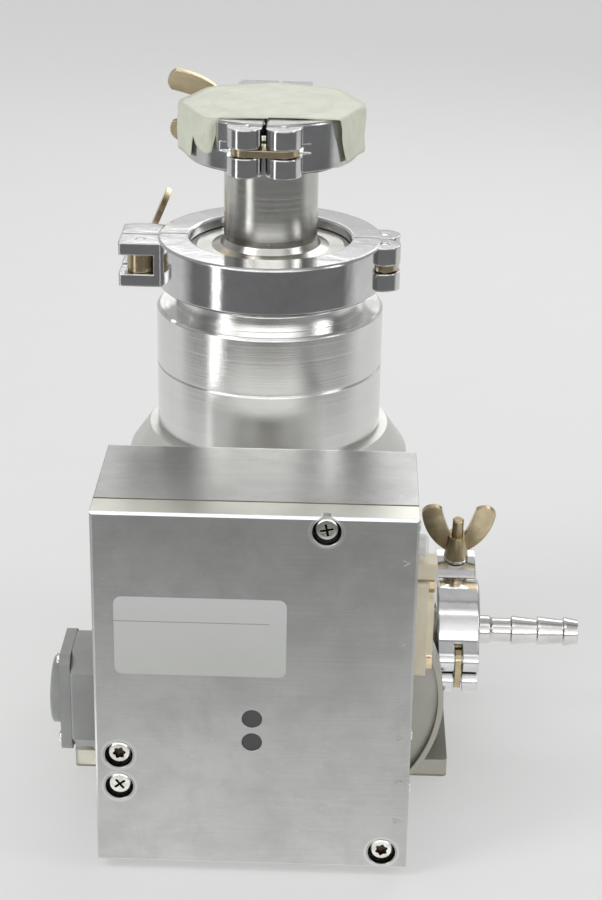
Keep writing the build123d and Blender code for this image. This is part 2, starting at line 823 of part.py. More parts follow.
def blank_flange():
    """Disc that closes the top of the nipple."""
    low = blank_joint_z + joint_gap / 2
    return turned([
        (0, low + register_depth), (middle_register, low + register_depth),
        (middle_register, low), (middle_flange_radius, low),
        (middle_flange_radius, low + flange_rim),
        (tube_radius, low + flange_rim + taper_rise(tube_radius, middle_flange_radius)),
        (tube_radius, low + blank_thickness + 3.0), (0, low + blank_thickness + 3.0),
    ])


def protective_film():
    """Film laid over the blank and folded down the clamp's left, back and right sides."""
    top = blank_joint_z + middle_clamp_height / 2 + seat_clearance
    inner = middle_ring_radius + seat_clearance
    outer = inner + film_thickness
    outline = RegularPolygon(outer, 8, major_radius=False, rotation=22.5)
    outline = fillet(outline.vertices(), film_fold_radius)
    body = Pos(0, 0, top - film_skirt) * extrude(outline, film_skirt + film_thickness)
    body -= upright(inner, top - film_skirt - 1, top)
    far = 2 * outer
    low = top - 2 * film_skirt
    body -= block(-film_front_x, film_front_x, -far, -film_side_y, low, top)
    body -= block(-far, far, -far, -film_front_y, low, top + 2 * film_thickness)
    body -= block(-film_back_x, film_back_x, film_side_y, far, low, top)
    body -= block(-far, far, film_back_y, far, low, top + 2 * film_thickness)
    return body


# ================================================================== hose barb
def hose_barb():
    """Small flange with a hub and a barbed tube, drawn along +Z from its joint face."""
    length = barb_reach - port_reach - joint_gap / 2
    back = flange_rim + taper_rise(small_neck_radius, small_flange_radius)
    outline = [
        (small_register, 0), (small_flange_radius, 0), (small_flange_radius, flange_rim),
        (small_neck_radius, back), (barb_hub_radius, back + 0.6),
        (barb_hub_radius, back + barb_hub_length), (barb_root, back + barb_hub_length + 1.5),
    ]
    for i in range(barb_count):
        foot = length - barb_tip - barb_pitch * (barb_count - 1 - i)
        outline.append((barb_root, foot))
        outline.append((barb_crest, foot + 0.5))
        outline.append((barb_crest, foot + 1.5))
        if i < barb_count - 1:
            outline.append((barb_root, foot + barb_pitch - 0.5))
    outline += [
        (barb_root, length), (barb_bore, length), (barb_bore, register_depth + 1.0),
        (foreline_bore - 1.0, register_depth), (small_register, register_depth),
    ]
    return port_plane(port_reach + joint_gap / 2) * turned(outline)


# ================================================================== drive unit
def drive_box(y0, y1):
    """Plain block of the drive unit's outline between two depths."""
    z0 = drive_bottom
    return block(-drive_side_x, drive_side_x, y0, y1, z0, z0 + drive_height)


def screw_sites(radius, y0, depth):
    """Cylinders along Y at the cover screws."""
    sites = []
    for x, z in screw_positions:
        sites.append(Pos(x, y0 + depth / 2, z) * (Rot(90, 0, 0) * Cylinder(radius, depth)))
    return sites


def front_cover():
    """Tray-shaped cover with recessed screw wells and two round windows."""
    body = drive_box(cover_front_y, seam_y)
    body = chamfer(body.edges().group_by(Axis.Y)[0], drive_edge)
    w = drive_wall
    hollow = block(-drive_side_x + w, drive_side_x - w, cover_front_y + w, seam_y + 1,
                   drive_bottom + w, drive_top - w)
    body -= hollow
    wells = screw_sites(screw_recess_radius + screw_well_wall, cover_front_y + w / 2,
                        cover_depth - w / 2)
    body += [well & drive_box(cover_front_y + w / 2, seam_y) for well in wells]
    sink = screw_head_drop + screw_head_height + seat_clearance
    body -= screw_sites(screw_recess_radius, cover_front_y - 1, sink + 1)
    body -= screw_sites(cover_screw_radius + fit_clearance, cover_front_y, cover_depth + 1)
    for x, z in led_positions:
        body -= Pos(x, cover_front_y, z) * (Rot(90, 0, 0) * Cylinder(led_radius, 4 * w))
    return body


def cover_screws():
    """Cover screws with their heads sunk in the wells."""
    low = cover_front_y + screw_head_drop
    heads = screw_sites(screw_head_radius, low, screw_head_height)
    shanks = screw_sites(cover_screw_radius, low + screw_head_height - 0.5, cover_depth)
    return [h + s for h, s in zip(heads, shanks)]


def led_windows():
    """Dark round windows, flush with the cover."""
    lamps = []
    for x, z in led_positions:
        lens = Cylinder(led_radius - 0.02, drive_wall - 0.3)
        y = cover_front_y + 0.3 + (drive_wall - 0.3) / 2
        lamps.append(Pos(x, y, z) * (Rot(90, 0, 0) * lens))
    return lamps


def drive_gasket():
    """Flat gasket in the seam between the cover and the rear shell."""
    frame = drive_box(seam_y, shell_front_y)
    frame = frame - block(-drive_side_x + drive_wall, drive_side_x - drive_wall,
                          seam_y - 1, shell_front_y + 1, drive_bottom + drive_wall,
                          drive_top - drive_wall)
    return frame


def rear_shell():
    """Deep rear shell with openings for the connectors on its two sides."""
    body = drive_box(shell_front_y, drive_back_y)
    w = drive_wall
    body -= block(-drive_side_x + w, drive_side_x - w, shell_front_y - 1, drive_back_y - w,
                  drive_bottom + w, drive_top - w)
    for x, z in screw_positions:
        post = Rot(90, 0, 0) * Cylinder(4.0, drive_back_y - shell_front_y)
        body += (Pos(x, (shell_front_y + drive_back_y) / 2, z) * post) & drive_box(
            shell_front_y, drive_back_y)
    body -= screw_sites(cover_screw_radius + 0.02, shell_front_y - 1, 12.0)
    body -= block(drive_side_x - w - 1, drive_side_x + 1, data_y - 5.4, data_y + 5.4,
                  data_z - 14.0, data_z + 14.0)
    body -= block(drive_side_x - w - 1, drive_side_x + 1, data_y - 3.0, data_y + 3.0,
                  serial_z - 3.0, serial_z + 3.0)
    body -= Pos(-drive_side_x, power_y, power_z) * (Rot(0, 90, 0) * Cylinder(9.0, 4 * w))
    return body


def side_text_marks():
    """Small raised triangles beside the connectors on the front face."""
    marks = []
    half = mark_size / 2
    for z in mark_heights:
        tri = Polyline((mark_x, z + half), (mark_x + mark_size, z), (mark_x, z - half), close=True)
        sheet = Plane(origin=(0, cover_front_y, 0), x_dir=(1, 0, 0), z_dir=(0, -1, 0))
        marks.append(extrude(sheet * make_face(tri), 0.25))
    return marks


def label_plate():
    """Bare, light label with rounded corners."""
    outline = RectangleRounded(label_width, label_height, label_corner)
    sheet = Plane(origin=(label_x, cover_front_y, label_z), x_dir=(1, 0, 0), z_dir=(0, -1, 0))
    return extrude(sheet * outline, label_thickness)


def power_connector():
    """Eight-sided supply connector on the left wall, with its flange and closing disc."""
    cut = power_corner
    h, w = power_height / 2, power_width / 2
    octagon = Polyline(
        (-w + cut, -h), (w - cut, -h), (w, -h + cut), (w, h - cut),
        (w - cut, h), (-w + cut, h), (-w, h - cut), (-w, -h + cut), close=True)
    plane = Plane(origin=(-drive_side_x, power_y, power_z), x_dir=(0, -1, 0), z_dir=(-1, 0, 0))
    body = extrude(plane * make_face(octagon), power_block)
    return fillet(body.edges().group_by(Axis.X)[0], 1.2)


def power_socket():
    """Flange plate and round closing disc of the supply connector."""
    plane = Plane(origin=(-drive_side_x - power_block, power_y, power_z),
                  x_dir=(0, -1, 0), z_dir=(-1, 0, 0))
    plate = extrude(plane * RectangleRounded(power_width - 2, power_height - 1.5, 4.0),
                    power_flange)
    disc_plane = plane.offset(power_flange)
    disc = extrude(disc_plane * Circle(power_disc_radius), power_disc)
    disc = chamfer(disc.edges().group_by(Axis.X)[0], 0.8)
    return plate + disc


def power_screws():
    """Screws at the top and bottom of the connector's flange."""
    heads = []
    half = power_height / 2 - power_screw_inset
    for z in (power_z + half, power_z - half):
        x = -drive_side_x - power_block - power_flange
        heads.append(Pos(x - 0.8, power_y - 7.5, z) * (Rot(0, 90, 0) * Cylinder(power_screw_radius, 1.6)))
    return heads


def data_connector():
    """Fifteen-way connector: flange, shell and insulator."""
    x0 = drive_side_x
    plane = Plane(origin=(x0, data_y, data_z), x_dir=(0, 1, 0), z_dir=(1, 0, 0))
    body = extrude(plane * RectangleRounded(data_width, data_height, 1.2), data_flange)
    outer = extrude(plane * RectangleRounded(data_shell_width, data_shell_height, 2.4),
                    data_flange + data_shell_reach)
    return body + outer


def jack_screws():
    """Hexagonal jackscrews at both ends of the data connector."""
    jacks = []
    for side in (-1, 1):
        z = data_z + side * data_jack_spacing / 2
        plane = Plane(origin=(drive_side_x + data_flange, data_y, z),
                      x_dir=(0, 1, 0), z_dir=(1, 0, 0))
        outline = RegularPolygon(jack_radius, 6) - Circle(jack_bore)
        jacks.append(extrude(plane * outline, jack_length))
    return jacks


def serial_socket():
    """Small square socket above the data connector."""
    plane = Plane(origin=(drive_side_x, data_y, serial_z), x_dir=(0, 1, 0), z_dir=(1, 0, 0))
    body = extrude(plane * RectangleRounded(serial_size + 4, serial_size - 0.4, 1.0),
                   serial_reach)
    return body


def sensor_plug():
    """Round light plug above the socket."""
    plane = Plane(origin=(drive_side_x, data_y, sensor_z), x_dir=(0, 1, 0), z_dir=(1, 0, 0))
    body = extrude(plane * Circle(sensor_radius), 5.0)
    return chamfer(body.edges().group_by(Axis.X)[-1], 1.2)


def side_screws():
    """Pan-head screws on both side walls."""
    heads = []
    for side, y, z in side_screw_spots:
        plane = Plane(origin=(side * drive_side_x, y, z), x_dir=(0, 1, 0), z_dir=(side, 0, 0))
        head = extrude(plane * Circle(side_screw_radius), 1.8)
        heads.append(head)
    return heads


def circuit_board():
    """Board on four posts with a transformer and three tall capacitors."""
    y = drive_back_y - drive_wall - board_standoff
    low = drive_bottom + board_margin
    high = drive_top - board_margin
    board = block(-board_half_width, board_half_width, y, y + board_thickness, low, high)
    post = Rot(90, 0, 0) * Cylinder(3.0, board_standoff - board_thickness)
    for x in (-board_post_x, board_post_x):
        for z in (low + 6.0, high - 6.0):
            board += Pos(x, y + (board_standoff + board_thickness) / 2, z) * post
    for x, radius, height in ((-30.0, 7.0, 22.0), (-12.0, 7.0, 22.0), (9.0, 9.0, 26.0)):
        can = Rot(90, 0, 0) * Cylinder(radius, height)
        board += Pos(x, y - height / 2, high - 18.0) * can
    return board + block(-30, 20, y - 12, y, low + 34, low + 58)


# ================================================================== writing the nodes
def save(name, shape):
    """Write one node; a list is kept as separate solids."""
    if isinstance(shape, (list, tuple)):
        solids = []
        for item in shape:
            solids += item.solids()
        shape = Compound(children=solids)
    export_step(shape, f"parts/{name}.step")


def save_clamp(prefix, size, place, nut_turn):
    """Write the pieces of one clamp, carried from the clamp's own frame to its place."""
    save(f"{prefix}_clamp_fixed_half", place * clamp_half(size, -1))
    save(f"{prefix}_clamp_loose_half", place * clamp_half(size, 1))
    save(f"{prefix}_clamp_link", place * clamp_link(size))
    save(f"{prefix}_swing_bolt", place * swing_bolt(size))
    save(f"{prefix}_washer", place * washer(size))
    save(f"{prefix}_wing_nut", place * wing_nut(size, nut_turn))


inlet_place = Pos(0, 0, inlet_joint_z)
top_hinge = (sin(radians(-middle_clamp_turn)), -cos(radians(middle_clamp_turn)), 0)
top_place = Plane(origin=(0, 0, blank_joint_z), x_dir=top_hinge, z_dir=(0, 0, -1)).location
tilt = radians(small_clamp_tilt)
port_place = Plane(
    origin=(port_reach, 0, port_height), x_dir=(0, -cos(tilt), -sin(tilt)), z_dir=(-1, 0, 0)
).location

save("base_casting", base_casting())
save("pump_housing", pump_housing())
save_clamp("inlet", large, inlet_place, inlet_nut_turn)
save_clamp("top", middle, top_place, top_nut_turn)
save_clamp("port", small, port_place, port_nut_turn)

clamps = ((large, inlet_place), (middle, top_place), (small, port_place))
save("clamp_pins", [place * pin for size, place in clamps for pin in clamp_pins(size)])
registers = (
    (large_register, inlet_place),
    (middle_register, Pos(0, 0, blank_joint_z)),
    (small_register, port_plane(port_reach)),
)
save("centring_rings", [place * centring_ring(register) for register, place in registers])
save("joint_orings", [place * oring(register) for register, place in registers])

save("reducer_nipple", reducer_nipple())
save("blank_flange", blank_flange())
save("protective_film", protective_film())
save("hose_barb", hose_barb())

save("rotor", rotor())
save("rotor_shaft", rotor_shaft())
save("motor_magnet", tube(magnet_radius, shaft_radius + 0.01, motor_bottom + 4, motor_top - 4))
save("stator_discs", [stator_disc(i) for i in range(stage_count)])
save("spacer_rings", [spacer_ring(i) for i in range(stage_count)])
save("drag_stator", drag_stator())
save("motor_stator", motor_stator())
outer_ring, inner_ring, balls = ball_bearing()
save("bearing_outer_ring", outer_ring)
save("bearing_inner_ring", inner_ring)
save("bearing_balls", balls)
save("upper_bearing_holder", upper_bearing_holder())
save("upper_bearing_magnets", magnet_stack())
save("splinter_screen", splinter_screen())
save("oil_reservoir", oil_reservoir())
save("reservoir_cover", reservoir_cover())

save("drive_front_cover", front_cover())
save("drive_cover_screws", cover_screws())
save("drive_led_windows", led_windows())
save("drive_gasket", drive_gasket())
save("drive_rear_shell", rear_shell())
save("drive_label", label_plate())
save("drive_marks", side_text_marks())
save("power_connector", power_connector())
save("power_socket", power_socket())
save("power_screws", power_screws())
save("data_connector", data_connector())
save("jack_screws", jack_screws())
save("serial_socket", serial_socket())
save("sensor_plug", sensor_plug())
save("side_screws", side_screws())
save("circuit_board", circuit_board())
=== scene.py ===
"""Looks of the turbomolecular pump: materials, small details, film, lights and camera. Metres."""

import math

import bmesh
import bpy
from mathutils import Matrix, Vector


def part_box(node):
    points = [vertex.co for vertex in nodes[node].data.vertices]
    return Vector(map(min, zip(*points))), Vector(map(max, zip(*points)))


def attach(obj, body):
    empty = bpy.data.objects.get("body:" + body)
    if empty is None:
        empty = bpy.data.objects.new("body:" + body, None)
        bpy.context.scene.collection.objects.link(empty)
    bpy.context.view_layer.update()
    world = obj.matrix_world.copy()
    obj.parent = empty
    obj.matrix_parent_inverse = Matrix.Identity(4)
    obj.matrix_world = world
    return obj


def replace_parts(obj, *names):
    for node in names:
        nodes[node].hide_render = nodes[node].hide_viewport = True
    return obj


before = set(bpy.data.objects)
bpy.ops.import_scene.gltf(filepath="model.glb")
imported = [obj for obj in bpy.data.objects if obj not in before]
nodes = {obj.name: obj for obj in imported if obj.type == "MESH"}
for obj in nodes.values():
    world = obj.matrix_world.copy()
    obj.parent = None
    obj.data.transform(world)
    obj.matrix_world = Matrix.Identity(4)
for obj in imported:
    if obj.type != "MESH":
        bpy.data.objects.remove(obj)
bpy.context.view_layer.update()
MM = 0.001

# The drive unit's front face and its screws. The wells are painted dark inside as painted shade,
# with a painted highlight ring round each of them on the face.
front_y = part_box("drive_front_cover")[0].y
HEAD_RADIUS = 4.7 * MM
UPPER_SCREW_X = 26.5 * MM
LEFT_SCREWS_UP = (40.5 * MM, 26.7 * MM)  # above the lowest screw
WELL_SHADE_RADIUS = 5.3 * MM
WELL_SHADE_MIDDLE, WELL_SHADE_HALF = 3.2 * MM, 2.6 * MM  # depth behind the face
HIGHLIGHT_RING = (5.6 * MM, 7.2 * MM)  # inner and outer radius


def cover_spots():
    """The four cover screws: outer middle, outward direction, kind of drive, turn in degrees."""
    low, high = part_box("drive_cover_screws")
    left, right = low.x + HEAD_RADIUS, high.x - HEAD_RADIUS
    bottom, top = low.z + HEAD_RADIUS, high.z - HEAD_RADIUS
    places = (
        (UPPER_SCREW_X, top, "cross", 12),
        (left, bottom + LEFT_SCREWS_UP[0], "star", 8),
        (left, bottom + LEFT_SCREWS_UP[1], "cross", 38),
        (right, bottom, "star", 20),
    )
    return [((x, low.y, z), (0, -1, 0), drive, turn) for x, z, drive, turn in places]


# ------------------------------------------------------------------ node helpers
class Tree:
    """A node tree with short ways to add nodes. A value is a number, a colour or a socket."""

    def __init__(self, tree):
        self.tree = tree

    def add(self, kind, **settings):
        node = self.tree.nodes.new(kind)
        for key, value in settings.items():
            setattr(node, key, value)
        return node

    def feed(self, socket, value):
        if isinstance(value, bpy.types.NodeSocket):
            self.tree.links.new(value, socket)
        else:
            socket.default_value = value

    def put(self, kind, inputs, output, **settings):
        """Add a node, feed its inputs by name or number, and give back one of its outputs."""
        node = self.add(kind, **settings)
        for key, value in inputs.items():
            self.feed(node.inputs[key], value)
        return node.outputs[output]

    def math(self, operation, *values):
        return self.put("ShaderNodeMath", dict(enumerate(values)), "Value", operation=operation)

    def plus(self, a, b):
        return self.math("ADD", a, b)

    def minus(self, a, b):
        return self.math("SUBTRACT", a, b)

    def times(self, a, b):
        return self.math("MULTIPLY", a, b)

    def below(self, a, b):
        return self.math("LESS_THAN", a, b)

    def above(self, a, b):
        return self.math("GREATER_THAN", a, b)

    def absolute(self, a):
        return self.math("ABSOLUTE", a)

    def length(self, a, b):
        return self.math("SQRT", self.plus(self.times(a, a), self.times(b, b)))

    def parts(self, vector):
        """The X, Y and Z of a vector."""
        node = self.add("ShaderNodeSeparateXYZ")
        self.feed(node.inputs["Vector"], vector)
        return node.outputs

    def curve(self, value, stops, interpolation="LINEAR"):
        """Ramp of (position, grey level or colour) stops."""
        node = self.add("ShaderNodeValToRGB")
        ramp = node.color_ramp
        ramp.interpolation = interpolation
        while len(ramp.elements) < len(stops):
            ramp.elements.new(0.5)
        for element, (position, colour) in zip(ramp.elements, stops):
            element.position = position
            if isinstance(colour, (int, float)):
                colour = (colour, colour, colour)
            element.color = (*colour, 1.0)
        self.feed(node.inputs["Fac"], value)
        return node.outputs["Color"]

    def rise(self, value, start, end, top=1.0):
        """Black up to the start, rising to the grey level top at the end."""
        return self.curve(value, ((start, 0.0), (end, top)))

    def spread(self, value, low, high):
        """The value taken from 0..1 to low..high."""
        return self.put("ShaderNodeMapRange", {"Value": value, "To Min": low, "To Max": high},
                        "Result")

    def spread_from(self, value, low, high):
        """The value taken from low..high to 0..1, held at the ends."""
        return self.put("ShaderNodeMapRange", {"Value": value, "From Min": low, "From Max": high},
                        "Result")


class Nodes(Tree):
    """A new material's node tree, with textures that sit in object space."""

    def __init__(self, name):
        self.material = bpy.data.materials.new(name)
        self.material.use_nodes = True
        super().__init__(self.material.node_tree)
        self.shader = self.tree.nodes["Principled BSDF"]
        self.place = self.add("ShaderNodeTexCoord").outputs["Object"]

    def stretched(self, scale, turn=(0, 0, 0)):
        """Object space with its axes scaled, so that a texture on it runs in streaks."""
        return self.put("ShaderNodeMapping",
                        {"Vector": self.place, "Scale": scale, "Rotation": turn}, "Vector")

    def noise(self, scale, detail=3.0, rough=0.5, where=None, twist=0.0):
        return self.put("ShaderNodeTexNoise", {
            "Vector": self.place if where is None else where, "Scale": scale,
            "Detail": detail, "Roughness": rough, "Distortion": twist}, "Fac")

    def cells(self, scale):
        return self.put("ShaderNodeTexVoronoi", {"Vector": self.place, "Scale": scale},
                        "Distance")

    def mix(self, share, a, b):
        """Colour a, going over to b by the share."""
        a, b = ((*c, 1.0) if isinstance(c, tuple) else c for c in (a, b))
        return self.put("ShaderNodeMix", {0: share, 6: a, 7: b}, 2, data_type="RGBA")

    def xyz(self):
        return self.parts(self.place)

    def lathe_rings(self):
        """Radius and height as a vector, so that a texture on it runs in rings about Z."""
        x, y, z = self.xyz()
        return self.put("ShaderNodeCombineXYZ", {"X": self.length(x, y), "Y": z, "Z": 0.0},
                        "Vector")

    def edge(self, radius):
        """Normal with the edges rounded to the radius."""
        return self.put("ShaderNodeBevel", {"Radius": radius}, "Normal", samples=6)

    def bump(self, height, strength, distance, normal=None):
        inputs = {"Height": height, "Strength": strength, "Distance": distance}
        if normal is not None:
            inputs["Normal"] = normal
        return self.put("ShaderNodeBump", inputs, "Normal")

    def finish(self, colour, roughness, metallic, normal=None):
        """Feed the material's shader and give back the material."""
        inputs = {"Base Color": colour, "Roughness": roughness, "Metallic": metallic}
        if normal is not None:
            inputs["Normal"] = normal
        for key, value in inputs.items():
            self.feed(self.shader.inputs[key], value)
        return self.material

    def emission(self, colour):
        return self.put("ShaderNodeEmission", {"Color": colour}, "Emission")

    def show(self, surface):
        """Let the material show this shader instead of its own."""
        self.feed(self.tree.nodes["Material Output"].inputs["Surface"], surface)


# ------------------------------------------------------------------ kinds of material
def turned_metal(name, colour, dark, rough, aniso, edge=0.25 * MM):
    """Lathe-turned metal with fine rings about Z."""
    n = Nodes(name)
    rings = n.lathe_rings()
    fine = n.noise(9000, detail=2, rough=0.6, where=rings)
    wide = n.noise(420, detail=3, rough=0.6, where=rings)
    blot = n.noise(34, detail=4, rough=0.6)
    tone = n.mix(n.spread(wide, 0.0, 0.7), colour, dark)
    tone = n.mix(n.rise(blot, 0.35, 0.75, top=0.45), tone, dark)
    roughness = n.plus(n.spread(fine, rough * 0.75, rough * 1.25), n.spread(blot, -0.03, 0.05))
    height = n.plus(fine, n.times(wide, 1.5))
    normal = n.bump(height, strength=0.22, distance=0.12 * MM, normal=n.edge(edge))
    tangent = n.add("ShaderNodeTangent", direction_type="RADIAL", axis="Z")
    n.feed(n.shader.inputs["Tangent"], tangent.outputs["Tangent"])
    n.shader.inputs["Anisotropic"].default_value = aniso
    n.shader.inputs["Anisotropic Rotation"].default_value = 0.25
    return n.finish(tone, roughness, metallic=1.0, normal=normal)


def smooth_metal(name, colour, dark, rough, wave=0.06, edge=0.5 * MM):
    """Polished or tumbled metal: low waves, fine scratches, handling marks."""
    n = Nodes(name)
    cloud = n.noise(45, detail=5, rough=0.62, twist=0.6)
    fine = n.noise(900, detail=3, rough=0.6)
    streaks = n.stretched((1, 9, 14), turn=(0.3, 0.5, 0.2))
    lines = n.noise(180, detail=2, rough=0.5, where=streaks)
    lines = n.curve(lines, ((0.49, 1.0), (0.505, 0.0), (0.52, 1.0)))
    tone = n.mix(n.rise(cloud, 0.35, 0.72, top=0.8), colour, dark)
    tone = n.mix(n.times(n.minus(1.0, lines), 0.14), tone, dark)
    roughness = n.plus(n.spread(fine, rough * 0.8, rough * 1.25),
                       n.times(n.minus(cloud, 0.4), rough * 0.8))
    height = n.plus(n.times(cloud, 2.0), n.times(fine, 0.25))
    normal = n.bump(height, strength=wave, distance=0.9 * MM, normal=n.edge(edge))
    return n.finish(tone, roughness, metallic=1.0, normal=normal)


def cast_metal(name, colour, dark, rough, grain, depth, metallic=0.9, low=None):
    """Cast and blasted metal with a fine pebbled skin; low is the darker tone it takes towards the
    floor.
    """
    n = Nodes(name)
    skin = n.noise(grain, detail=4, rough=0.65)
    cloud = n.noise(28, detail=5, rough=0.6, twist=0.4)
    pits = n.rise(n.cells(grain * 0.6), 0.0, 0.22)
    tone = n.mix(n.rise(cloud, 0.3, 0.75, top=0.75), colour, dark)
    if low:
        z = n.xyz()[2]
        darker_below = n.curve(n.spread_from(z, 0.0, 130 * MM), ((0.0, 1.0), (0.45, 0.8), (0.95, 0.0)))
        tone = n.mix(darker_below, tone, n.mix(cloud, low, tuple(0.7 * v for v in low)))
    tone = n.mix(n.times(n.minus(1.0, pits), 0.22), tone, dark)
    roughness = n.plus(n.spread(skin, rough * 0.85, rough * 1.15), n.spread(cloud, -0.05, 0.06))
    normal = n.bump(skin, strength=0.5, distance=depth, normal=n.edge(0.5 * MM))
    return n.finish(tone, roughness, metallic, normal)


def plastic(name, colour, dark, rough, grain=1400, depth=0.06 * MM):
    """Moulded plastic with a light grain and a little dust in its tone."""
    n = Nodes(name)
    fine = n.noise(grain, detail=3, rough=0.6)
    cloud = n.noise(60, detail=4, rough=0.6)
    tone = n.mix(n.rise(cloud, 0.35, 0.75), colour, dark)
    roughness = n.spread(fine, rough * 0.85, rough * 1.15)
    normal = n.bump(fine, strength=0.5, distance=depth, normal=n.edge(0.4 * MM))
    return n.finish(tone, roughness, metallic=0.0, normal=normal)


def label_paper():
    """Bare pale label with one thin printed rule across its upper third."""
    n = Nodes("label_stock")
    low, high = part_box("drive_label")
    rule_z = high.z - 0.31 * (high.z - low.z)
    rule_end = low.x + 0.9 * (high.x - low.x)
    x, _, z = n.xyz()
    fine = n.noise(900, detail=3, rough=0.6)
    cloud = n.noise(50, detail=4, rough=0.6)
    tone = n.mix(cloud, (0.53, 0.54, 0.51), (0.46, 0.47, 0.445))
    # Painted light: the label is painted lighter towards its top.
    tone = n.mix(n.spread_from(z, low.z, high.z), tone, (0.55, 0.555, 0.55))
    rule = n.times(n.below(n.absolute(n.minus(z, rule_z)), 0.18 * MM), n.below(x, rule_end))
    tone = n.mix(n.times(rule, 0.75), tone, (0.20, 0.20, 0.21))
    normal = n.bump(fine, strength=0.4, distance=0.03 * MM)
    return n.finish(tone, n.spread(fine, 0.28, 0.38), metallic=0.0, normal=normal)


def screw_distance(n, x, z):
    """Distance, seen from the front, from the nearest cover screw's middle."""
    near = 1.0
    for spot, *_ in cover_spots():
        gap = n.length(n.minus(x, spot[0]), n.minus(z, spot[2]))
        near = n.math("MINIMUM", near, gap)
    return near


def drive_metal():
    """Brushed sheet: cloudy grey, fine level brushing, scratches, stains; painted shade in the
    wells, painted highlights round them and on the front edge, painted light on the top and back.
    """
    n = Nodes("drive_metal")
    x, y, z = n.xyz()
    cloud = n.noise(15, detail=5, rough=0.62, twist=0.5)
    blotch = n.noise(48, detail=5, rough=0.65, twist=0.3)
    brush = n.noise(1100, detail=4, rough=0.6, where=n.stretched((0.03, 0.3, 1.0)))
    fleck = n.rise(n.noise(620, detail=2), 0.68, 0.76)
    tilted = n.stretched((1.0, 1.0, 11.0), turn=(0.0, 0.42, 0.0))
    line = n.curve(n.noise(26, detail=1, rough=0.4, where=tilted),
                   ((0.495, 0.0), (0.5, 1.0), (0.505, 0.0)))
    fine = n.noise(1500, detail=3, rough=0.6)
    tone = n.mix(n.rise(cloud, 0.3, 0.72), (0.46, 0.462, 0.455), (0.375, 0.377, 0.37))
    tone = n.mix(n.times(n.rise(brush, 0.38, 0.66), 0.3), tone, (0.50, 0.50, 0.495))
    tone = n.mix(n.times(n.rise(blotch, 0.45, 0.70), 0.5), tone, (0.31, 0.31, 0.30))
    tone = n.mix(n.times(fleck, 0.3), tone, (0.62, 0.62, 0.61))
    tone = n.mix(n.times(line, 0.25), tone, (0.60, 0.60, 0.60))

    # Painted shade: the wells are painted near black behind the face.
    near = screw_distance(n, x, z)
    sunk = n.math("COMPARE", y, front_y + WELL_SHADE_MIDDLE, WELL_SHADE_HALF)
    well_shade = n.times(n.below(near, WELL_SHADE_RADIUS), sunk)
    tone = n.mix(n.times(well_shade, 0.96), tone, (0.012, 0.012, 0.012))
    # Painted highlight: a bright ring round each well on the face.
    ring = n.curve(n.spread_from(near, *HIGHLIGHT_RING), ((0.2, 0.0), (0.4, 1.0), (1.0, 0.0)))
    on_face = n.below(y, front_y + 0.2 * MM)
    tone = n.mix(n.times(n.times(ring, on_face), 0.35), tone, (0.80, 0.80, 0.78))

    # Painted light: the cover's top is painted lighter and a little yellow as a painted
    # reflection, its front edge carries a painted highlight, and the shell's back is painted light
    # against its shade.
    cover_low, cover_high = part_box("drive_front_cover")
    top_reflection = n.times(n.above(z, cover_high.z - 0.25 * MM), n.below(y, cover_high.y + 0.1 * MM))
    tone = n.mix(n.times(top_reflection, 0.75), tone, (0.66, 0.65, 0.58))
    # Painted highlight along the cover's top front edge.
    edge_highlight = n.times(n.above(z, cover_high.z - 1.0 * MM), n.below(y, cover_low.y + 1.0 * MM))
    tone = n.mix(edge_highlight, tone, (0.93, 0.95, 1.0))
    # Painted light: the shell's back is painted light against the shade behind the box.
    rear = n.above(y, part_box("drive_rear_shell")[1].y - 0.5 * MM)
    tone = n.mix(rear, tone, (0.78, 0.78, 0.77))

    roughness = n.plus(n.spread(fine, 0.27, 0.38), n.spread(cloud, -0.05, 0.07))
    height = n.plus(fine, n.times(brush, 1.4))
    normal = n.bump(height, strength=0.28, distance=0.14 * MM, normal=n.edge(0.5 * MM))
    return n.finish(tone, roughness, metallic=0.96, normal=normal)


# ------------------------------------------------------------------ materials of the nodes
steel_housing = turned_metal("turned_housing", (0.80, 0.80, 0.785), (0.64, 0.635, 0.62),
                             rough=0.13, aniso=0.5, edge=0.6 * MM)
steel_tube = turned_metal("drawn_tube", (0.63, 0.625, 0.59), (0.44, 0.43, 0.40),
                          rough=0.17, aniso=0.55)
inner_metal = turned_metal("machined_inside", (0.70, 0.71, 0.72), (0.52, 0.53, 0.54),
                           rough=0.22, aniso=0.4)
barb_metal = smooth_metal("barb_metal", (0.70, 0.69, 0.68), (0.48, 0.47, 0.46), rough=0.13)
clamp_metal = smooth_metal("clamp_metal", (0.67, 0.675, 0.675), (0.50, 0.50, 0.50),
                           rough=0.10, edge=0.8 * MM)
brass_metal = smooth_metal("yellow_metal", (0.58, 0.49, 0.33), (0.27, 0.21, 0.12),
                           rough=0.20, wave=0.14)
screw_metal = smooth_metal("screw_metal", (0.74, 0.745, 0.69), (0.42, 0.42, 0.36),
                           rough=0.20, wave=0.15)
bearing_metal = smooth_metal("bearing_metal", (0.66, 0.66, 0.68), (0.42, 0.42, 0.44), rough=0.10)
copper = smooth_metal("copper_winding", (0.62, 0.30, 0.16), (0.36, 0.17, 0.09),
                      rough=0.35, wave=0.4)
casting = cast_metal("casting", (0.78, 0.775, 0.75), (0.62, 0.615, 0.59), rough=0.42,
                     grain=1100, depth=0.12 * MM, metallic=0.85, low=(0.36, 0.35, 0.30))
magnet_metal = cast_metal("magnet_metal", (0.17, 0.17, 0.18), (0.09, 0.09, 0.10), rough=0.45,
                          grain=1500, depth=0.1 * MM)
cover_metal = drive_metal()
label_stock = label_paper()
grey_plastic = plastic("grey_plastic", (0.31, 0.318, 0.31), (0.25, 0.256, 0.25), rough=0.42)
beige_plastic = plastic("beige_plastic", (0.80, 0.74, 0.58), (0.68, 0.61, 0.46), rough=0.40)
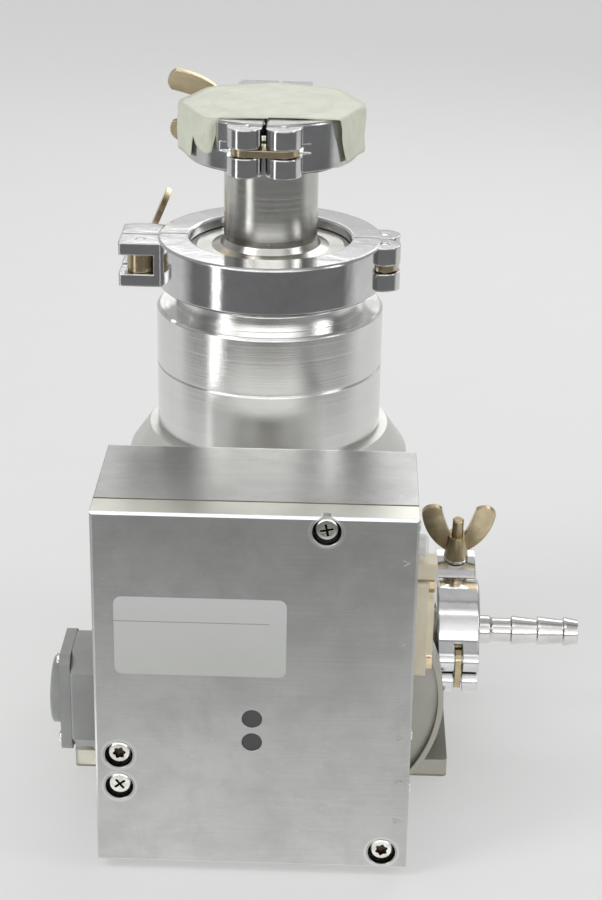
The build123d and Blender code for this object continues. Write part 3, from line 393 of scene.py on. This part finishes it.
white_plastic = plastic("white_plastic", (0.80, 0.80, 0.78), (0.70, 0.70, 0.68), rough=0.35)
dark_window = plastic("dark_window", (0.055, 0.052, 0.055), (0.035, 0.032, 0.035), rough=0.22)
sealant = plastic("sealing_paste", (0.15, 0.115, 0.035), (0.03, 0.022, 0.01), rough=0.55,
                  grain=700, depth=0.3 * MM)
black_rubber = plastic("black_rubber", (0.03, 0.03, 0.03), (0.018, 0.018, 0.018), rough=0.55)
felt = plastic("felt_wick", (0.72, 0.69, 0.60), (0.58, 0.55, 0.46), rough=0.9,
               grain=2600, depth=0.4 * MM)
board_green = plastic("board_green", (0.05, 0.22, 0.10), (0.03, 0.15, 0.07), rough=0.40)

wearers = [
    (casting, ("base_casting", "reservoir_cover")),
    (steel_housing, ("pump_housing",)),
    (steel_tube, ("reducer_nipple",)),
    (clamp_metal, ("blank_flange",)),
    (barb_metal, ("hose_barb",)),
    (cover_metal, ("drive_front_cover", "drive_rear_shell", "drive_marks")),
    (sealant, ("drive_gasket",)),
    (label_stock, ("drive_label",)),
    (dark_window, ("drive_led_windows",)),
    (screw_metal, ("drive_cover_screws", "power_screws", "side_screws", "clamp_pins",
                   "splinter_screen")),
    (grey_plastic, ("power_connector", "power_socket")),
    (beige_plastic, ("data_connector", "serial_socket")),
    (white_plastic, ("sensor_plug", "protective_film")),
    (brass_metal, ("jack_screws",)),
    (board_green, ("circuit_board",)),
    (black_rubber, ("joint_orings",)),
    (inner_metal, ("centring_rings", "rotor", "stator_discs", "spacer_rings", "drag_stator",
                   "upper_bearing_holder")),
    (bearing_metal, ("rotor_shaft", "bearing_inner_ring", "bearing_outer_ring",
                     "bearing_balls")),
    (magnet_metal, ("motor_magnet", "upper_bearing_magnets")),
    (copper, ("motor_stator",)),
    (felt, ("oil_reservoir",)),
]
for clamp in ("inlet", "top", "port"):
    wearers += [
        (clamp_metal, (f"{clamp}_clamp_fixed_half", f"{clamp}_clamp_loose_half")),
        (brass_metal, (f"{clamp}_clamp_link", f"{clamp}_swing_bolt", f"{clamp}_wing_nut")),
        (screw_metal, (f"{clamp}_washer",)),
    ]
looks = {name: material for material, names in wearers for name in names}
for name, node in nodes.items():
    node.data.materials.clear()
    node.data.materials.append(looks[name])


# ------------------------------------------------------------------ mesh helpers
def new_object(name, data):
    made = bpy.data.objects.new(name, data)
    bpy.context.scene.collection.objects.link(made)
    return made


def mesh_of(bm, name):
    """The mesh of a finished bmesh, with its faces turned outwards."""
    bmesh.ops.recalc_face_normals(bm, faces=bm.faces)
    mesh = bpy.data.meshes.new(name)
    bm.to_mesh(mesh)
    bm.free()
    return mesh


def new_piece(name, mesh, material, smooth=True):
    """A piece of the object that rides on the pump's body."""
    piece = new_object(name, mesh)
    mesh.materials.append(material)
    if smooth:
        for face in mesh.polygons:
            face.use_smooth = True
    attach(piece, "pump_body")
    return piece


def apply_modifiers(piece):
    """Bake a piece's modifiers into its mesh."""
    view = bpy.context.evaluated_depsgraph_get()
    baked = bpy.data.meshes.new_from_object(piece.evaluated_get(view))
    piece.modifiers.clear()
    piece.data = baked


def circle(bm, place, radius, height, steps):
    """Vertices round local Z."""
    verts = []
    for i in range(steps):
        a = 2 * math.pi * i / steps
        point = Vector((radius * math.cos(a), radius * math.sin(a), height))
        verts.append(bm.verts.new(place @ point))
    return verts


def join(bm, one, other):
    """Faces between two closed loops of as many vertices."""
    for i in range(len(one)):
        j = (i + 1) % len(one)
        bm.faces.new((one[i], one[j], other[j], other[i]))


def close(bm, bottom, top):
    """Flat ends of a tube of loops."""
    bm.faces.new(list(reversed(bottom)))
    bm.faces.new(top)


def lathe(bm, outline, place, steps=48):
    """Closed surface of revolution of (radius, height) pairs about local Z."""
    rings = [circle(bm, place, radius, height, steps) for radius, height in outline]
    for one, other in zip(rings, rings[1:]):
        join(bm, one, other)
    close(bm, rings[0], rings[-1])


def prism(bm, points, low, high, place, shrink):
    """Closed prism of a flat outline, its lower end scaled by shrink."""
    bottom = [bm.verts.new(place @ Vector((x * shrink, y * shrink, low))) for x, y in points]
    top = [bm.verts.new(place @ Vector((x, y, high))) for x, y in points]
    close(bm, bottom, top)
    join(bm, bottom, top)


# ------------------------------------------------------------------ screws
# Sizes as shares of the head's radius. A taper is how wide the drive's floor is to its mouth.
DRIVE_REACH = 0.56
CROSS_WIDTH, CROSS_TAPER = 0.21, 0.72
STAR_INNER, STAR_TAPER = 0.40, 0.96
STAR_POINTS, STAR_STEPS = 6, 24
CROWN, CROWN_FLAT = 0.02, 0.6  # height and radius of the slightly raised middle
CUT_MOUTH = 0.1  # how far the cutter stands out of the head
EDGE_ROUND = 0.3  # of the edge's size, where its corner is broken


def cross_outline(radius):
    a, w = radius * DRIVE_REACH, radius * CROSS_WIDTH / 2
    return [(a, -w), (a, w), (w, w), (w, a), (-w, a), (-w, w), (-a, w), (-a, -w),
            (-w, -w), (-w, -a), (w, -a), (w, -w)]


def star_outline(radius):
    outer, inner = radius * DRIVE_REACH, radius * STAR_INNER
    points = []
    for i in range(STAR_STEPS):
        a = 2 * math.pi * i / STAR_STEPS
        share = 0.5 + 0.5 * math.cos(STAR_POINTS * a)
        r = inner + (outer - inner) * share
        points.append((r * math.cos(a), r * math.sin(a)))
    return points


def screw_heads(name, spots, radius, height, edge, material, sunk=0.72):
    """Round heads with a crowned rim and a drive cut to the sunk share, all in one piece.

    Each spot is (middle of the head's outer face, outward direction, kind of drive, turn)."""
    profile = ((radius, -height), (radius, -edge),
               (radius - edge * EDGE_ROUND, -edge * EDGE_ROUND), (radius - edge, 0.0),
               (radius * CROWN_FLAT, CROWN * radius))
    heads = bmesh.new()
    cuts = bmesh.new()
    for middle, outward, drive, turn in spots:
        facing = Vector(outward).to_track_quat("Z", "Y").to_matrix().to_4x4()
        turned = Matrix.Rotation(math.radians(turn), 4, "Z")
        place = Matrix.Translation(middle) @ facing @ turned
        lathe(heads, profile, place)
        if drive == "cross":
            outline, taper = cross_outline(radius), CROSS_TAPER
        else:
            outline, taper = star_outline(radius), STAR_TAPER
        prism(cuts, outline, -height * sunk, CUT_MOUTH * radius, place, taper)
    piece = new_piece(name, mesh_of(heads, f"{name}_heads"), material, smooth=False)
    cutter = new_object("cutter", mesh_of(cuts, f"{name}_cuts"))
    cut = piece.modifiers.new("drive", "BOOLEAN")
    cut.operation = "DIFFERENCE"
    cut.solver = "EXACT"
    cut.object = cutter
    apply_modifiers(piece)
    bpy.data.objects.remove(cutter)
    return piece


def head_metal():
    """Bright plated screw heads, with painted shade, dark and brownish, down in the cut of the
    drive.
    """
    n = Nodes("head_metal")
    y = n.xyz()[1]
    cloud = n.noise(300, detail=4, rough=0.6)
    fine = n.noise(2200, detail=3, rough=0.6)
    tone = n.mix(n.rise(cloud, 0.35, 0.7), (0.80, 0.81, 0.76), (0.52, 0.53, 0.47))
    # Painted shade: darker with depth in the cut of the drive.
    depth = n.spread_from(y, front_y + 1.8 * MM, front_y + 2.9 * MM)
    tone = n.mix(n.rise(depth, 0.12, 0.6), tone, (0.05, 0.036, 0.026))
    normal = n.bump(cloud, strength=0.15, distance=0.2 * MM, normal=n.edge(0.2 * MM))
    return n.finish(tone, n.spread(fine, 0.16, 0.26), metallic=1.0, normal=normal)


def cup_metal():
    """Grey rim of the screw cups, with painted shade, near black, inside."""
    n = Nodes("cup_metal")
    x, y, z = n.xyz()
    fine = n.noise(1200, detail=3, rough=0.6)
    # Painted shade: near black deeper inside each cup.
    depth = n.rise(n.spread_from(y, front_y, front_y + 0.9 * MM), 0.1, 0.6)
    within = n.below(screw_distance(n, x, z), HIGHLIGHT_RING[0])
    rim = n.mix(fine, (0.56, 0.56, 0.54), (0.42, 0.42, 0.40))
    tone = n.mix(n.times(depth, within), rim, (0.012, 0.011, 0.01))
    normal = n.bump(fine, strength=0.2, distance=0.05 * MM)
    return n.finish(tone, n.spread(fine, 0.25, 0.35), metallic=1.0, normal=normal)


# Section of a cup in mm: radius, and height in front of the cover's face.
CUP_SECTION = ((5.86, -0.1), (5.82, 0.12), (5.62, 0.2), (5.45, 0.1), (5.35, -0.4),
               (5.35, -4.2), (5.86, -4.2))
CUP_STEPS = 56


def screw_cups():
    """Thin pressed cups that line the screw wells, with a narrow bright rim at the front."""
    bm = bmesh.new()
    for (x, _, z), *_ in cover_spots():
        place = Matrix.Translation((x, front_y, z)) @ Matrix.Rotation(math.radians(90), 4, "X")
        rings = [circle(bm, place, radius * MM, height * MM, CUP_STEPS)
                 for radius, height in CUP_SECTION]
        for one, other in zip(rings, rings[1:] + rings[:1]):
            join(bm, one, other)
    return new_piece("screw_cups", mesh_of(bm, "screw_cups"), cup_metal())


def loose_boxes(node):
    """Lowest and highest corner of each separate solid in a node's mesh."""
    bm = bmesh.new()
    bm.from_mesh(nodes[node].data)
    bmesh.ops.remove_doubles(bm, verts=bm.verts, dist=0.001 * MM)
    left = set(bm.verts)
    boxes = []
    while left:
        reached = [left.pop()]
        group = []
        while reached:
            vert = reached.pop()
            group.append(vert.co.copy())
            for edge in vert.link_edges:
                other = edge.other_vert(vert)
                if other in left:
                    left.remove(other)
                    reached.append(other)
        boxes.append((Vector(min(c[i] for c in group) for i in range(3)),
                      Vector(max(c[i] for c in group) for i in range(3))))
    bm.free()
    return sorted(boxes, key=lambda box: tuple(box[0]))


def side_spots(node):
    """The screws on the drive unit's side walls, as screw_heads takes them."""
    spots = []
    for low, high in loose_boxes(node):
        middle = (low + high) / 2
        side = 1 if middle.x > 0 else -1
        middle.x = high.x if side > 0 else low.x
        spots.append((tuple(middle), (side, 0, 0), "cross", 25))
    return spots


screw_cups()
cover_heads = screw_heads("cover_screw_heads", cover_spots(), HEAD_RADIUS, 2.4 * MM, 0.9 * MM,
                          head_metal())
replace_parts(cover_heads, "drive_cover_screws")
for node, radius, height in (("side_screws", 2.4, 1.8), ("power_screws", 2.2, 1.4)):
    small_heads = screw_heads(f"{node}_heads", side_spots(node), radius * MM, height * MM,
                              0.6 * MM, screw_metal, sunk=0.6)
    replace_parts(small_heads, node)


# ------------------------------------------------------------------ contacts and marks
CONTACT_ROWS = ((-1.42, 8), (1.42, 7))  # place across the connector in mm, number of contacts
CONTACT_PITCH = 2.74
CONTACT_SECTION = ((0.80, -0.3), (0.80, 0.10), (0.68, 0.16), (0.50, 0.10), (0.46, -0.2))


def data_contacts():
    """Two rows of round contacts in the end of the fifteen-way connector's shell."""
    low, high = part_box("data_connector")
    middle_y, middle_z = (low.y + high.y) / 2, (low.z + high.z) / 2
    outline = [(radius * MM, height * MM) for radius, height in CONTACT_SECTION]
    bm = bmesh.new()
    for row, count in CONTACT_ROWS:
        for i in range(count):
            up = (i - (count - 1) / 2) * CONTACT_PITCH
            middle = (high.x, middle_y + row * MM, middle_z + up * MM)
            place = Matrix.Translation(middle) @ Matrix.Rotation(math.radians(90), 4, "Y")
            lathe(bm, outline, place, steps=20)
    return new_piece("data_contacts", mesh_of(bm, "data_contacts"), brass_metal,
                     smooth=False)


MARK_HEIGHTS = (136.4, 103.0, 78.5, 62.6, 43.6, 25.8)  # in mm above the foot
MARK_HOLE = 0.56  # size of the triangle's open middle, as a share of the triangle


def triangle_marks():
    """Small raised outlines of triangles, as embossed on the cover; each points outwards."""
    low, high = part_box("drive_marks")
    size = high.x - low.x
    back_y = low.y + 0.6 * (high.y - low.y) + 0.1 * MM
    from_middle = size / 6  # of the box to the triangle's centre
    centre_x = (low.x + high.x) / 2 - from_middle
    corners = ((-size / 2, size / 2), (size / 2, 0.0), (-size / 2, -size / 2))
    bm = bmesh.new()
    for mark_z in MARK_HEIGHTS:
        loops = []
        for y in (low.y, back_y):
            for share in (1.0, MARK_HOLE):
                loops.append([
                    bm.verts.new((centre_x + (u + from_middle) * share, y,
                                  mark_z * MM + v * share)) for u, v in corners])
        front_out, front_in, back_out, back_in = loops
        for one, other in ((front_out, front_in), (back_in, back_out), (back_out, front_out),
                           (front_in, back_in)):
            join(bm, one, other)
    return new_piece("triangle_marks", mesh_of(bm, "triangle_marks"), cover_metal,
                     smooth=False)


data_contacts()
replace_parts(triangle_marks(), "drive_marks")


# ------------------------------------------------------------------ protective film
# Hang of the film below its top in mm, by degrees from the front, positive to the right. It is
# torn off across the front, with a small tongue left beside the gap.
FILM_HANG = (
    (-180, 18.6), (-72, 18.4), (-60, 17.8), (-57.5, 8.5), (-50, 11.0), (-41, 14.4), (-37.5, 13.0),
    (-36.5, 0.0), (47.5, 0.0), (48.5, 1.2), (51, 8.0), (55.5, 16.2), (57, 18.6), (75, 18.2),
    (180, 18.6),
)
FILM_SIDE = 45.0  # degrees that each of the eight folded sides takes
FILM_FLAT_RADIUS, FILM_FOLD_RADIUS = 34.9 * MM, 36.9 * MM
TEAR_FROM, TEAR_TO = -36.6, 46  # degrees over which the top ends in a straight line
TEAR_LEFT_Y, TEAR_RIGHT_Y = 26.5 * MM, 25.0 * MM  # that line's distance from the axis
FILM_RIM_RADIUS = 26 * MM  # where the film rests on the rim below
RIDGE_HEIGHT, RIDGE_WIDTH = 0.25 * MM, 3.5 * MM  # of the film over that rim
TOP_WAVE, SIDE_WAVE = 0.10 * MM, 0.32 * MM  # heights of the low waves
TOP_WAVE_FROM, SIDE_WAVE_FULL = 5 * MM, 4 * MM  # radius and depth at which they are there
FLARE, FLARE_DEPTH = 0.35 * MM, 1.2 * MM  # how far the side stands out below the fold
FILM_THICKNESS = 0.35 * MM
FILM_COLUMNS, FILM_RINGS, FILM_ROWS = 240, 14, 12


def film_material():
    """Cream-green adhesive film: faint waves, and painted shade where it rests on the rim below.
    """
    n = Nodes("film_cream")
    x, y, _ = n.xyz()
    wobble = n.times(n.minus(n.noise(90), 0.5), 6 * MM)
    # Painted shade: a darker band where the film rests on the rim below.
    rim = n.spread_from(n.plus(n.length(x, y), wobble), 14 * MM, 30 * MM)
    rim = n.curve(rim, ((0.0, 0.0), (0.45, 0.25), (0.62, 0.75), (0.75, 0.1), (1.0, 0.0)))
    cloud = n.noise(70, detail=4, rough=0.55, twist=1.2)
    fine = n.noise(1300, detail=3, rough=0.6)
    tone = n.mix(n.rise(cloud, 0.38, 0.68), (0.64, 0.665, 0.54), (0.57, 0.59, 0.49))
    tone = n.mix(n.times(rim, 0.34), tone, (0.46, 0.46, 0.40))
    height = n.plus(n.times(cloud, 3.0), n.times(fine, 0.08))
    normal = n.bump(height, strength=0.35, distance=0.8 * MM)
    n.shader.inputs["Coat Weight"].default_value = 0.15
    n.shader.inputs["Coat Roughness"].default_value = 0.25
    return n.finish(tone, n.spread(fine, 0.42, 0.58), metallic=0.0, normal=normal)


def film_hang(angle):
    """How far the film hangs below its top at an angle from the front."""
    for (a0, d0), (a1, d1) in zip(FILM_HANG, FILM_HANG[1:]):
        if a0 <= angle <= a1:
            return (d0 + (d1 - d0) * (angle - a0) / (a1 - a0)) * MM
    return 0.0


def film_reach(angle):
    """Radius of the folded top at an angle from the front: eight flats, rounded folds."""
    off_flat = abs(angle % FILM_SIDE - FILM_SIDE / 2)
    radius = min(FILM_FLAT_RADIUS / math.cos(math.radians(off_flat)), FILM_FOLD_RADIUS)
    if TEAR_FROM < angle < TEAR_TO:
        front_line = TEAR_LEFT_Y if angle < 0 else TEAR_RIGHT_Y
        radius = min(radius, front_line / math.cos(math.radians(angle)))
    return radius


def film_column(bm, angle, top):
    """Vertices from beside the middle outwards over the top and down the side."""
    a = math.radians(angle)
    way = Vector((math.sin(a), -math.cos(a), 0))
    reach, hang = film_reach(angle), film_hang(angle)
    column = []
    for j in range(1, FILM_RINGS + 1):
        r = reach * j / FILM_RINGS
        ridge = RIDGE_HEIGHT * math.exp(-((r - FILM_RIM_RADIUS) / RIDGE_WIDTH) ** 2)
        wave = TOP_WAVE * math.sin(5 * a + 1.3) * math.sin(r * 240) if r > TOP_WAVE_FROM else 0.0
        column.append(bm.verts.new(way * r + Vector((0, 0, top + ridge + wave))))
    for k in range(1, FILM_ROWS + 1):
        depth = hang * k / FILM_ROWS
        bulge = SIDE_WAVE * math.sin(9 * a + depth * 260) * min(1.0, depth / SIDE_WAVE_FULL)
        flare = FLARE * min(1.0, depth / FLARE_DEPTH)
        column.append(bm.verts.new(way * (reach + flare + bulge) + Vector((0, 0, top - depth))))
    return hang, column


def film_mesh():
    """The film's middle surface: a top folded over the rim and a side that hangs from it."""
    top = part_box("protective_film")[1].z - 0.45 * MM
    bm = bmesh.new()
    centre = bm.verts.new((0, 0, top + 0.1 * MM))
    columns = [film_column(bm, -180 + 360 * i / FILM_COLUMNS, top) for i in range(FILM_COLUMNS)]
    for (hang, column), (next_hang, beside) in zip(columns, columns[1:] + columns[:1]):
        bm.faces.new((centre, beside[0], column[0]))
        torn = max(hang, next_hang) < 0.1 * MM
        for j in range(FILM_RINGS - 1 if torn else len(column) - 1):
            bm.faces.new((column[j], beside[j], beside[j + 1], column[j + 1]))
    loose = [v for v in bm.verts if not v.link_faces]
    bmesh.ops.delete(bm, geom=loose, context="VERTS")
    return mesh_of(bm, "film_skin")


film = new_piece("film_skin", film_mesh(), film_material())
sheet = film.modifiers.new("thickness", "SOLIDIFY")
sheet.thickness = FILM_THICKNESS
sheet.offset = 0.0
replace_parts(film, "protective_film")


# ------------------------------------------------------------------ floor and card
def flat_plane(name, low, high, height, material):
    """Level stage plane between two corners."""
    (x0, y0), (x1, y1) = low, high
    mesh = bpy.data.meshes.new(name)
    mesh.from_pydata([(x0, y0, height), (x1, y0, height), (x1, y1, height), (x0, y1, height)],
                     [], [(0, 1, 2, 3)])
    mesh.materials.append(material)
    plane = new_object(name, mesh)
    return plane


def floor_white():
    """Pale floor that shows an even tone to the camera and in reflections, and takes shadows."""
    n = Nodes("floor_white")
    tone = n.mix(n.noise(30), (0.80, 0.805, 0.80), (0.78, 0.785, 0.78))
    n.finish(tone, 0.7, metallic=0.0)
    n.shader.inputs["Specular IOR Level"].default_value = 0.0
    glow = n.emission(n.curve(n.spread_from(n.xyz()[1], -0.5, 1.6), (
        (0.0, (0.76, 0.77, 0.76)), (0.35, (0.86, 0.87, 0.855)), (0.62, (0.84, 0.85, 0.835)),
        (1.0, (0.88, 0.89, 0.875)))))
    rays = n.add("ShaderNodeLightPath").outputs
    seen = n.plus(n.plus(rays["Is Camera Ray"], rays["Is Glossy Ray"]),
                  rays["Is Transmission Ray"])
    share = n.times(n.math("MINIMUM", seen, 1.0), 0.36)
    n.show(n.put("ShaderNodeMixShader", {0: share, 1: n.shader.outputs["BSDF"], 2: glow}, 0))
    return n.material


def card_grey():
    """Glow of the studio card round the front.

    It is bright near the object, darkens with distance, and is lighter at the sides until the
    distance at which the clamps mirror it. One bright strip crosses it at the left."""
    n = Nodes("card_grey")
    x, y, _ = n.xyz()
    away = n.curve(n.spread_from(y, -0.55, -0.13), (
        (0.0, 0.03), (0.20, 0.06), (0.42, 0.46), (0.70, 0.88), (1.0, 1.18)))
    beside = n.spread_from(n.absolute(x), 0.05, 0.42)
    near = n.mix(beside, away, (0.68, 0.69, 0.68))
    far = n.spread_from(n.length(x, y), 0.46, 0.58)
    tone = n.mix(far, near, (0.20, 0.20, 0.205))
    bearing = n.math("ARCTAN2", x, n.times(y, -1.0))
    off_strip = n.absolute(n.plus(bearing, math.radians(52)))
    strip = n.curve(n.spread_from(off_strip, 0.0, math.radians(9)), ((0.2, 1.0), (0.7, 0.0)))
    tone = n.mix(n.times(strip, 0.9), tone, (3.2, 3.2, 3.2))
    behind = n.spread_from(y, -0.12, 0.08)
    tone = n.mix(behind, tone, (0.76, 0.77, 0.76))
    n.show(n.emission(tone))
    return n.material


flat_plane("floor", (-6, -6), (6, 6), 0.0, floor_white())
card = flat_plane("dark_card", (-1.6, -2.6), (1.6, 0.10), 0.001, card_grey())
card.visible_camera = card.visible_diffuse = card.visible_shadow = False  # in reflections only


# ------------------------------------------------------------------ world, lamps and camera
# Levels round the horizon: 0 and 1 look along -Y (towards the camera), 0.25 to -X, 0.5 along +Y,
# and 0.75 to +X. Levels by height go from 0 straight down to 1 straight up.
LEVELS_AROUND = (
    (0.00, 0.78), (0.09, 0.85), (0.17, 0.80), (0.23, 0.30), (0.31, 0.62), (0.50, 0.78),
    (0.66, 0.62), (0.76, 0.28), (0.84, 0.70), (0.93, 0.85), (1.00, 0.78),
)
LEVELS_UP = ((0.45, 0.75), (0.55, 0.9), (0.68, 0.75), (0.85, 0.8), (1.0, 0.9))
# A broad soft light above and behind the camera, which only reflections see: its share by the
# distance from +Y round the horizon, and by the sine of the height.
FRONT_AROUND = ((0.36, 0.0), (0.43, 1.0))
FRONT_UP = (
    (0.02, 0.0), (0.06, 1.0), (0.22, 0.9), (0.40, 0.30), (0.82, 0.10), (0.88, 0.5), (0.96, 0.0),
)
FRONT_LEVEL = 2.8
BACKDROP_LEVEL = 0.80

world = bpy.data.worlds.new("studio")
bpy.context.scene.world = world
world.use_nodes = True
studio = Tree(world.node_tree)
dx, dy, dz = studio.parts(studio.add("ShaderNodeTexCoord").outputs["Generated"])
azimuth = studio.math("DIVIDE", studio.math("ARCTAN2", dx, dy), 2 * math.pi)
azimuth = studio.plus(azimuth, 0.5)
elevation = studio.plus(studio.times(dz, 0.5), 0.5)
level = studio.times(studio.curve(azimuth, LEVELS_AROUND, "EASE"),
                     studio.curve(elevation, LEVELS_UP, "EASE"))
off_back = studio.absolute(studio.minus(azimuth, 0.5))
front = studio.times(studio.curve(off_back, FRONT_AROUND, "EASE"),
                     studio.curve(dz, FRONT_UP, "EASE"))
rays = studio.add("ShaderNodeLightPath").outputs
front = studio.times(front, studio.minus(1.0, rays["Is Diffuse Ray"]))
level = studio.plus(level, studio.times(front, FRONT_LEVEL))
shown = studio.put("ShaderNodeMix", {0: rays["Is Camera Ray"], 2: level, 3: BACKDROP_LEVEL}, 0,
                   data_type="FLOAT")
background = world.node_tree.nodes["Background"]
studio.feed(background.inputs["Color"], shown)
background.inputs["Strength"].default_value = 1.0

LAMPS = (  # name, place, what it looks at, width and height, power
    ("key", (-0.75, -0.55, 0.95), (0, -0.05, 0.13), (0.40, 0.8), 4.2),
    ("fill", (0.95, -0.35, 0.60), (0, 0, 0.13), (0.30, 0.7), 2.2),
    ("rim", (0.25, 0.9, 0.8), (0, 0, 0.16), (1.0, 0.5), 3.0),
)
for name, position, target, size, power in LAMPS:
    data = bpy.data.lights.new(name, "AREA")
    data.shape = "RECTANGLE"
    data.size, data.size_y = size
    data.energy = power
    lamp = new_object(name, data)
    lamp.location = position
    lamp.rotation_mode = "QUATERNION"
    lamp.rotation_quaternion = (Vector(target) - Vector(position)).to_track_quat("-Z", "Y")

# The camera that was fitted to the photograph: pitch down, yaw and roll in degrees, place in mm.
CAMERA_PITCH, CAMERA_YAW, CAMERA_ROLL = 22.789, -1.245, -0.960
CAMERA_PLACE = (31.217, -800.474, 463.227)
CAMERA_LENS, CAMERA_SENSOR = 81.72, 36.0

camera_data = bpy.data.cameras.new("camera")
camera_data.sensor_fit = "VERTICAL"
camera_data.sensor_height = camera_data.sensor_width = CAMERA_SENSOR
camera_data.lens = CAMERA_LENS
camera_data.clip_start, camera_data.clip_end = 0.05, 50.0
camera = new_object("camera", camera_data)
bpy.context.scene.camera = camera
pitch, yaw, roll = (math.radians(a) for a in (CAMERA_PITCH, CAMERA_YAW, CAMERA_ROLL))
right = Vector((math.cos(yaw), -math.sin(yaw), 0))
ahead = Vector((math.sin(yaw), math.cos(yaw), 0))
down = -math.sin(pitch) * ahead - Vector((0, 0, math.cos(pitch)))
forward = math.cos(pitch) * ahead - Vector((0, 0, math.sin(pitch)))
right, down = (math.cos(roll) * right + math.sin(roll) * down,
               -math.sin(roll) * right + math.cos(roll) * down)
camera.rotation_mode = "QUATERNION"
camera.rotation_quaternion = Matrix((right, -down, -forward)).transposed().to_quaternion()
camera.location = Vector(CAMERA_PLACE) * MM

bpy.context.scene.view_settings.view_transform = "Standard"
